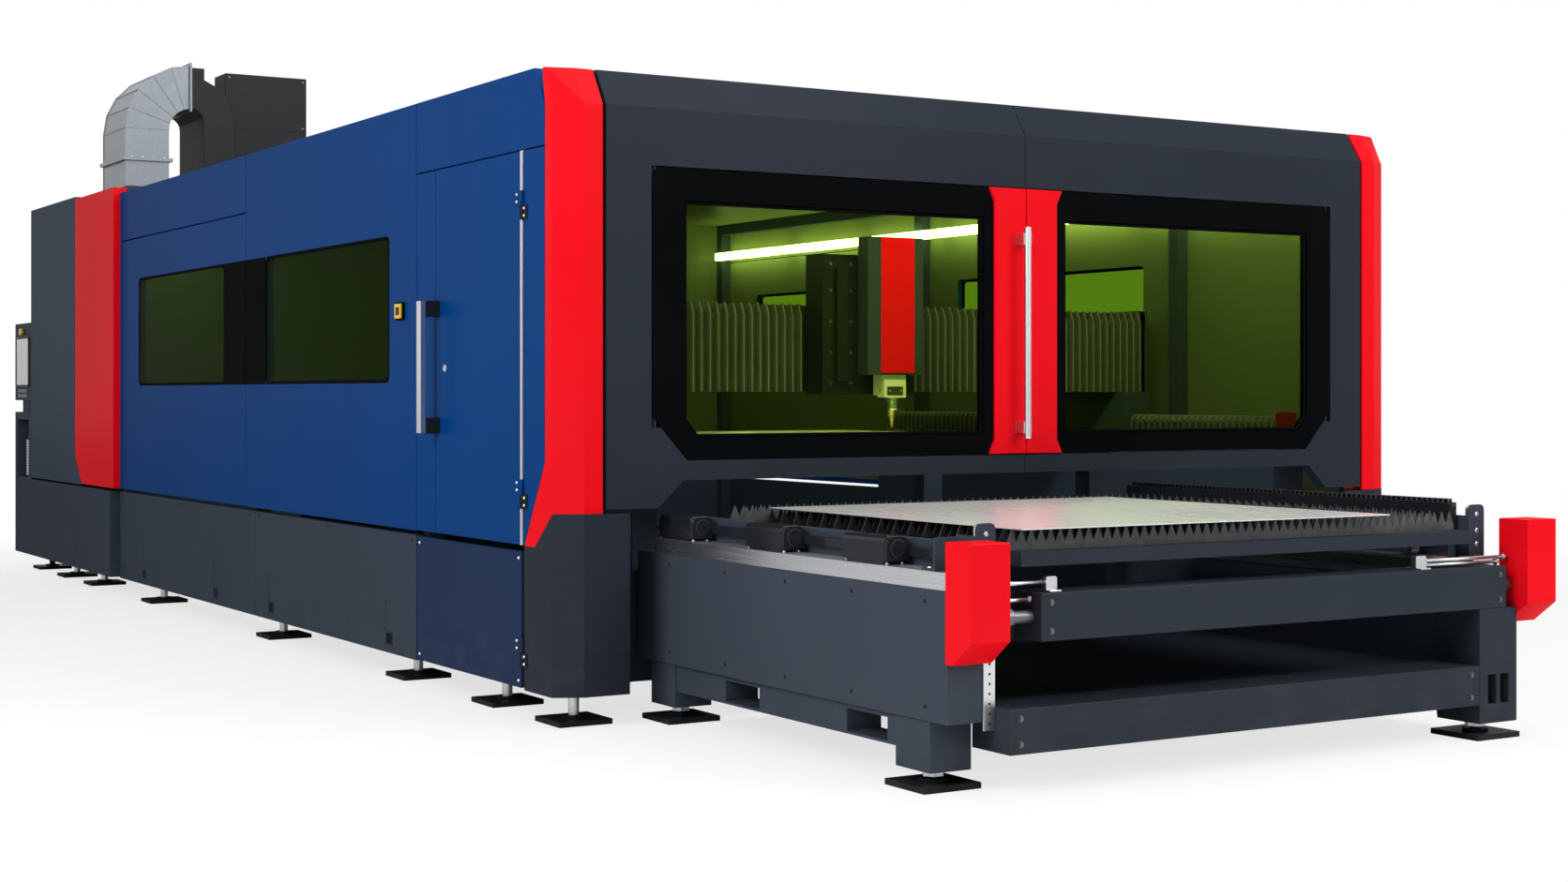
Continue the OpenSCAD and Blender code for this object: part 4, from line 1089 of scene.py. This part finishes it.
def cover_cheeks():
    """Shallow cheeks beside the red strip of the head cover."""
    lo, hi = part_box("head_cover")
    strip_lo, strip_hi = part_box("cover_strip")
    sides = ((strip_lo.x, lo.x + CHEEK_FLAT, lo.x), (strip_hi.x, hi.x - CHEEK_FLAT, hi.x))
    bm = bmesh.new()
    for edge, turn, out in sides:
        plan = [(edge, lo.y), (turn, lo.y), (out, lo.y + CHEEK_BACK)]
        plan += [(out, lo.y + CHEEK_STEP), (edge, lo.y - CHEEK_OUT)]
        loft(bm, [[(x, y, z) for x, y in plan] for z in (lo.z, hi.z)])
    piece("cover_cheeks", bm, GRAY, "carriage")


END_PLATE = 10 * MM
END_PLATE_OUT = 8 * MM


def bellows_end_plates():
    """Bright plates that hold the outer ends of the gantry's bellows."""
    lo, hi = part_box("gantry_bellows")
    bm = bmesh.new()
    for x in (lo.x - END_PLATE, hi.x):
        low = (x, lo.y - END_PLATE_OUT, lo.z - END_PLATE_OUT)
        block(bm, low, (x + END_PLATE, hi.y, hi.z + END_PLATE_OUT), 1 * MM)
    piece("bellows_end_plates", bm, STEEL_Z, "gantry")


KNOB = ((0, 9), (7, 9), (9, 7), (9, 3))
SENSOR = ((75, 26.6), (83, 27.4), (86, 26.2), (118, 26.2), (121, 27.6), (136, 27.6), (139, 26.6))
TIP = ((-0.1, 4.4), (2, 5.2), (14, 8), (15, 10.5), (24, 12.5), (25, 11))
DRAWER_OUT = 2 * MM


def head_fittings():
    """Lens drawer, adjusting knobs, sensor ring and the copper tip of the cutting head."""
    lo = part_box("head_body")[0]
    nozzle_lo, nozzle_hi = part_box("nozzle")
    mid = (nozzle_lo + nozzle_hi) / 2
    foot = (mid.x, mid.y, nozzle_lo.z)
    drawer = lo.y - DRAWER_OUT
    bm = bmesh.new()
    low = (mid.x - 45 * MM, drawer, lo.z + 10 * MM)
    block(bm, low, (mid.x + 45 * MM, lo.y + 1 * MM, lo.z + 52 * MM), 1 * MM)
    piece("lens_drawer", bm, DARK_STEEL, "head")
    big, small = [(d, r * 1.2) for d, r in KNOB], [(d / 3, r * 0.7) for d, r in KNOB]
    bm = bmesh.new()
    for side in (-1, 1):
        spun(bm, (mid.x + side * 60 * MM, mid.y, lo.z + 35 * MM), X * side, big)
        spun(bm, (mid.x + side * 32 * MM, drawer, lo.z + 31 * MM), -Y, small)
    piece("head_knobs", bm, BRASS, "head", smooth=True)
    for name, finish, profile, sides in (
        ("sensor_ring", STEEL_X, SENSOR, 32),
        ("nozzle_tip", COPPER, TIP, 24),
    ):
        bm = bmesh.new()
        spun(bm, foot, Z, profile, sides)
        piece(name, bm, finish, "head")


# Pieces on the exchange table

CHAIN_PITCH = 25.4 * MM
CHAIN_X = at_x(665)
CHAIN_START, CHAIN_END = at_y(-1680), at_y(100)


def table_chain():
    """Roller chain on top of the right guard."""
    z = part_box("table_sides")[1].z + 8 * MM
    count = int((CHAIN_END - CHAIN_START) / CHAIN_PITCH)
    rows = [((CHAIN_X, CHAIN_START + i * CHAIN_PITCH, z), Y) for i in range(count)]
    LINKS.grow("table_chain", rows, pitch=CHAIN_PITCH)


GUIDE_Y = (-1315.5, -675, -20)
GUIDE_HALF, GUIDE_FOOT = 126 * MM, 110 * MM
GUIDE_LIP = 5 * MM
NECK, COLLAR = 3 * MM, 8 * MM
SHELL_LAP = 4 * MM
CAP_PROFILE = ((-1, 31), (3, 31), (5, 28), (5, 21), (3, 20), (3, 9), (5, 8), (5, 5))


def guide_covers():
    """Rounded housings of the side guides, each with a neck, a collar and a turned cap at its front."""
    lo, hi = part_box("guide_boxes")
    mid_x, shell = (lo.x + hi.x) / 2, lo.z + 10 * MM
    left, right = lo.x + GUIDE_LIP, hi.x - GUIDE_LIP
    low, high = (lo.x, shell), (hi.x, hi.z)
    neck_low, neck_high = (left, shell + SHELL_LAP), (right, hi.z - GUIDE_LIP)
    bm, caps, screws = bmesh.new(), bmesh.new(), []
    for y in GUIDE_Y:
        centre = at_y(y)
        front = centre - GUIDE_HALF
        collar = front - NECK - COLLAR
        block(bm, (left, centre - GUIDE_FOOT, lo.z), (right, centre + GUIDE_FOOT, shell + SHELL_LAP))
        upright(bm, low, high, front, 2 * GUIDE_HALF, 18 * MM, 3 * MM)
        upright(bm, neck_low, neck_high, front - NECK, NECK + SHELL_LAP, 14 * MM, 0.5 * MM)
        upright(bm, low, high, collar, COLLAR, 26 * MM, 2 * MM)
        spun(caps, (mid_x, collar, (shell + hi.z) / 2), -Y, CAP_PROFILE, 28)
        for dx in (-30, 30):
            x, z = mid_x + dx * MM, lo.z + 2 * MM
            screws += [((x, centre + dy * MM, z), Z) for dy in (-119, 119)]
    piece("guide_covers", bm, ENAMEL, replaces=("guide_boxes",))
    piece("guide_caps", caps, ENAMEL)
    BRIGHT_BOLTS.grow("guide_screws", screws, radius=7 * MM, height=4 * MM)


BAR_FRONT, BAR_BACK = at_y(-1700), at_y(100)
GUARD_X = at_x(-1568)
STRIP_TOP, STRIP_FRONT = 0.695, at_y(-1735)
STRIP_LEFT, STRIP_RIGHT = at_x(-1690), at_x(-1592)
STRIP_T = 8 * MM


def guide_bar():
    """Black bar between the side guides and the left guard, and the plate that ends the row."""
    lo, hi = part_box("guide_boxes")
    bm = bmesh.new()
    low = (hi.x - 2 * MM, BAR_FRONT, lo.z + 26 * MM)
    block(bm, low, (GUARD_X, BAR_BACK, lo.z + 58 * MM))
    piece("guide_bar", bm, ENAMEL)
    left, right, front, top = STRIP_LEFT, STRIP_RIGHT, STRIP_FRONT, STRIP_TOP + STRIP_T
    bm = bmesh.new()
    upright(bm, (left, STRIP_TOP), (right, STRIP_TOP + 0.105), front, STRIP_T, 9 * MM)
    block(bm, (left, front + 6 * MM, STRIP_TOP), (right, front + 0.075, top), 1.5 * MM)
    piece("strip_bracket", bm, TABLE_GRAY)
    middle = (left + right) / 2
    rows = [((middle, front, STRIP_TOP + z), -Y) for z in (0.062, 0.022)]
    rows += [((middle + dx * MM, front + 0.05, top), Z) for dx in (-34, 34)]
    BRIGHT_BUTTONS.grow("strip_bracket_screws", rows, radius=8 * MM)


BRACKET_X = ((-1543, -1468), (695, 775))
BRACKET_FRONT, BRACKET_LOW = at_y(-1755), 0.650


def end_brackets():
    """Dark plates with rounded tops at the front corners of the tracks."""
    low, front = BRACKET_LOW, BRACKET_FRONT
    back = front + 8 * MM
    bm, stops, screws = bmesh.new(), bmesh.new(), []
    for x0, x1 in BRACKET_X:
        a, b = at_x(x0), at_x(x1)
        upright(bm, (a, low), (b, low + 0.190), front, 10 * MM, 20 * MM)
        block(bm, (a, back, low), (b, front + 0.115, low + 0.010))
        block(bm, (a, back, low + 8 * MM), (a + 0.008, front + 0.110, low + 0.150))
        stop_low, stop_high = (a + 6 * MM, low + 0.120), (b - 6 * MM, low + 0.1885)
        upright(stops, stop_low, stop_high, front + 10 * MM, 16 * MM, 18 * MM)
        screws += [(((a + b) / 2, front, low + h), -Y) for h in (0.045, 0.095, 0.155)]
    piece("end_brackets", bm, TABLE_GRAY)
    piece("end_bracket_stops", stops, STEEL_X)
    BRIGHT_BUTTONS.grow("bracket_bolts", screws, radius=9 * MM)


COVER_LEFT, COVER_RIGHT = at_x(645), at_x(685)
COVER_FRONT, COVER_BACK, COVER_LOW = at_y(-1700), at_y(110), 0.700
COVER_T = 2 * MM


def guard_cover():
    """Black folded cover over the right guard, under the chain."""
    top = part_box("table_sides")[1].z
    lap = top + 0.5 * MM
    left, right, front = COVER_LEFT - COVER_T, COVER_RIGHT + COVER_T, COVER_FRONT - COVER_T
    bm = bmesh.new()
    for low, high in (
        ((left, front, top), (right, COVER_BACK, top + COVER_T)),
        ((left, front, COVER_LOW), (COVER_LEFT, COVER_BACK, lap)),
        ((COVER_RIGHT, front, COVER_LOW), (right, COVER_BACK, lap)),
        ((left, front, COVER_LOW), (right, COVER_FRONT, lap)),
    ):
        block(bm, low, high, 0.6 * MM)
    piece("guard_cover", bm, ENAMEL)


ROD_R = 7
ROD_Y = at_y(-1850)
BEAM_TOP = 0.625
ROD_RUNS = ((-1557, -1330, 30), (-1557, -1399, -22), (345, 775, 28), (345, 735, 12))
CLAMP_X = ((-1352, -1308), (300, 352))


def beam_rods():
    """Bright switch rods at both ends of the drive beam, with their clamps."""
    bm, nuts = bmesh.new(), []
    for x0, x1, rise in ROD_RUNS:
        z = BEAM_TOP + rise * MM
        spun(bm, (at_x(x0), ROD_Y, z), X, [(0, ROD_R), (x1 - x0, ROD_R)], 12)
        nuts += [((at_x(x), ROD_Y, z), X) for x in (x0 + 12, x1 - 12)]
    piece("beam_rods", bm, STEEL_X, smooth=True)
    BRIGHT_BOLTS.grow("rod_nuts", nuts, radius=13 * MM, height=5 * MM)
    bm = bmesh.new()
    for x0, x1 in CLAMP_X:
        a, b = at_x(x0), at_x(x1)
        low = (a, ROD_Y - 35 * MM, BEAM_TOP)
        block(bm, low, (b, ROD_Y + 35 * MM, BEAM_TOP + 6 * MM), 1 * MM)
        foot, head = (a, BEAM_TOP + 5 * MM), (b, BEAM_TOP + 0.048)
        upright(bm, foot, head, ROD_Y - 14 * MM, 28 * MM, 8 * MM)
    piece("rod_clamps", bm, STEEL_X)


STRIP_HOLES = 8


def leg_strip():
    """Bright guide plate on the front of the left leg."""
    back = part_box("table_sides")[0].y
    front = back - 6 * MM
    bm = bmesh.new()
    block(bm, (at_x(-1566), front, 0.198), (at_x(-1521), back, 0.461), 1.5 * MM)
    piece("leg_strip", bm, STEEL_Z)
    levels = [0.220 + i * 0.031 for i in range(STRIP_HOLES)]
    rows = [((at_x(-1543), front, z), -Y) for z in levels]
    BUTTONS.grow("leg_strip_holes", rows, radius=4.5 * MM, height=1.2 * MM)


SIDE_SCREWS = 5
BEAM_BOLTS = (((-1360, 690), (0.505, 0.595)), ((-1480, 540), (0.16, 0.24)))


def table_bolts():
    """Screws along the table's sides and bolts at the ends of its beams."""
    lo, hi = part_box("table_sides")
    rows = []
    for i in range(SIDE_SCREWS):
        y = lo.y + 0.12 + i * 0.42
        rows += [((lo.x, y, z), -X) for z in (0.60, 0.27)]
        rows += [((hi.x, y + 0.05, z), X) for z in (0.60, 0.27)]
    BUTTONS.grow("table_screws", rows, radius=8 * MM)
    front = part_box("table_beams")[0].y
    rows = []
    for across, levels in BEAM_BOLTS:
        rows += [((at_x(x), front, z), -Y) for x in across for z in levels]
    BOLTS.grow("beam_bolts", rows, radius=11 * MM)


FOOT_X = 1.997
FOOT_Y = (0.200, 0.811, 1.765, 3.600, 5.810)
TALL_FOOT, LOW_FOOT, NUT_DROP = 0.120, 0.060, 12 * MM


def foot_hardware():
    """Bright studs and lock nuts of the levelling feet."""
    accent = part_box("rear_accents")[1].y - FRONT_Y
    rows = (*FOOT_Y, accent + 0.030, accent + 0.770)
    tall = [(FRONT_X + side * FOOT_X, FRONT_Y + y) for side in (-1, 1) for y in rows]
    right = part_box("table_sides")[1].x
    low = [(at_x(-1612), at_y(-1615)), (at_x(-1612), at_y(55))]
    low += [(right - 0.095, at_y(-1790)), (at_x(710), at_y(55))]
    nuts = [((x, y, TALL_FOOT - NUT_DROP), Z) for x, y in tall]
    nuts += [((x, y, LOW_FOOT - NUT_DROP), Z) for x, y in low]
    NUTS.grow("foot_nuts", nuts, radius=36.8 * MM, height=25 * MM)
    studs = [((x, y, 62 * MM), Z) for x, y in tall]
    STUDS.grow("foot_studs", studs, radius=20.8 * MM, height=64 * MM)


# Studio

FLOOR_HALF = 60.0
SHADOW_WHITE = 0.72
FLOOR_FADE = (4.5, 9.0)
PALE = (0.93, 0.93, 0.93, 1)
WHITE_LIGHT = (1, 1, 1, 1)
WORLD_LIGHT = 0.30
WHITE_RAYS = ("Is Camera Ray", "Is Transmission Ray", "Is Glossy Ray")
MACHINE_AIM = (0, -2.5, 1.2)
SOFTBOXES = (
    ("left_softbox", (-9.5, -6.0, 6.0), MACHINE_AIM, (6, 4), 560),
    ("front_softbox", (3.5, -12.0, 6.5), MACHINE_AIM, (6, 4), 560),
    ("top_softbox", (0, -3.0, 9.5), MACHINE_AIM, (8, 8), 430),
    ("cabin_lamp", (0, at_y(320), 2.34), (0, at_y(1300), 1.3), (3.2, 0.15), 40),
)


def studio_floor():
    """A floor that takes soft shadows near the machine and is white further off."""
    mesh = bpy.data.meshes.new("studio_floor")
    h = FLOOR_HALF
    mesh.from_pydata([(-h, -h, 0), (h, -h, 0), (h, h, 0), (-h, h, 0)], [], [(0, 1, 2, 3)])
    add("studio_floor", mesh)
    f = Finish("studio_floor")
    seen = f.node("ShaderNodeLightPath", out="Is Camera Ray")
    shaded = f.node("ShaderNodeBsdfDiffuse", inputs={"Color": PALE})
    white = f.node("ShaderNodeEmission", inputs={"Color": WHITE_LIGHT, "Strength": 1.0})
    away = f.node("ShaderNodeVectorMath", {"operation": "LENGTH"}, {0: f.place}, out="Value")
    clean = SHADOW_WHITE + f.band(away, *FLOOR_FADE) * (1 - SHADOW_WHITE)
    mixed = f.node("ShaderNodeMixShader", inputs={0: seen * clean, 1: shaded, 2: white})
    f.node("ShaderNodeOutputMaterial", inputs={"Surface": mixed})
    mesh.materials.append(f.material)


def studio_light():
    """A white world that lights the machine only dimly, and soft boxes."""
    world = bpy.data.worlds.new("studio")
    bpy.context.scene.world = world
    world.use_nodes = True
    w = Tree(world.node_tree)
    camera, through, glossy = (w.node("ShaderNodeLightPath", out=ray) for ray in WHITE_RAYS)
    inputs = {"Value": camera.most(through).most(glossy), "To Min": WORLD_LIGHT, "To Max": 1.0}
    strength = w.node("ShaderNodeMapRange", inputs=inputs)
    back = w.node("ShaderNodeBackground", inputs={"Color": WHITE_LIGHT, "Strength": strength})
    w.node("ShaderNodeOutputWorld", inputs={"Surface": back})
    for name, place, aim, size, power in SOFTBOXES:
        data = bpy.data.lights.new(name, "AREA")
        data.shape = "RECTANGLE"
        data.size, data.size_y = size
        data.energy = power
        lamp = add(name, data)
        lamp.location = place
        lamp.rotation_euler = (Vector(aim) - Vector(place)).to_track_quat("-Z", "Y").to_euler()
        lamp.visible_camera = False
        lamp.visible_transmission = False
    bpy.context.scene.view_settings.view_transform = "Standard"


# Assembly

set_camera()
dress_nodes()
round_edges()
window_beads()
front_beads()
stile_flares()
hinge_strip()
pull_cups()
panel_screws()
door_lock()
handle_feet()
button_insert()
duct_seams()
fan_details()
console_parts()
coiled_hose()
gantry_cloth()
rail_cloth()
carriage_bolts()
cover_cheeks()
bellows_end_plates()
head_fittings()
table_chain()
guide_covers()
guide_bar()
end_brackets()
guard_cover()
beam_rods()
leg_strip()
table_bolts()
foot_hardware()
studio_floor()
studio_light()
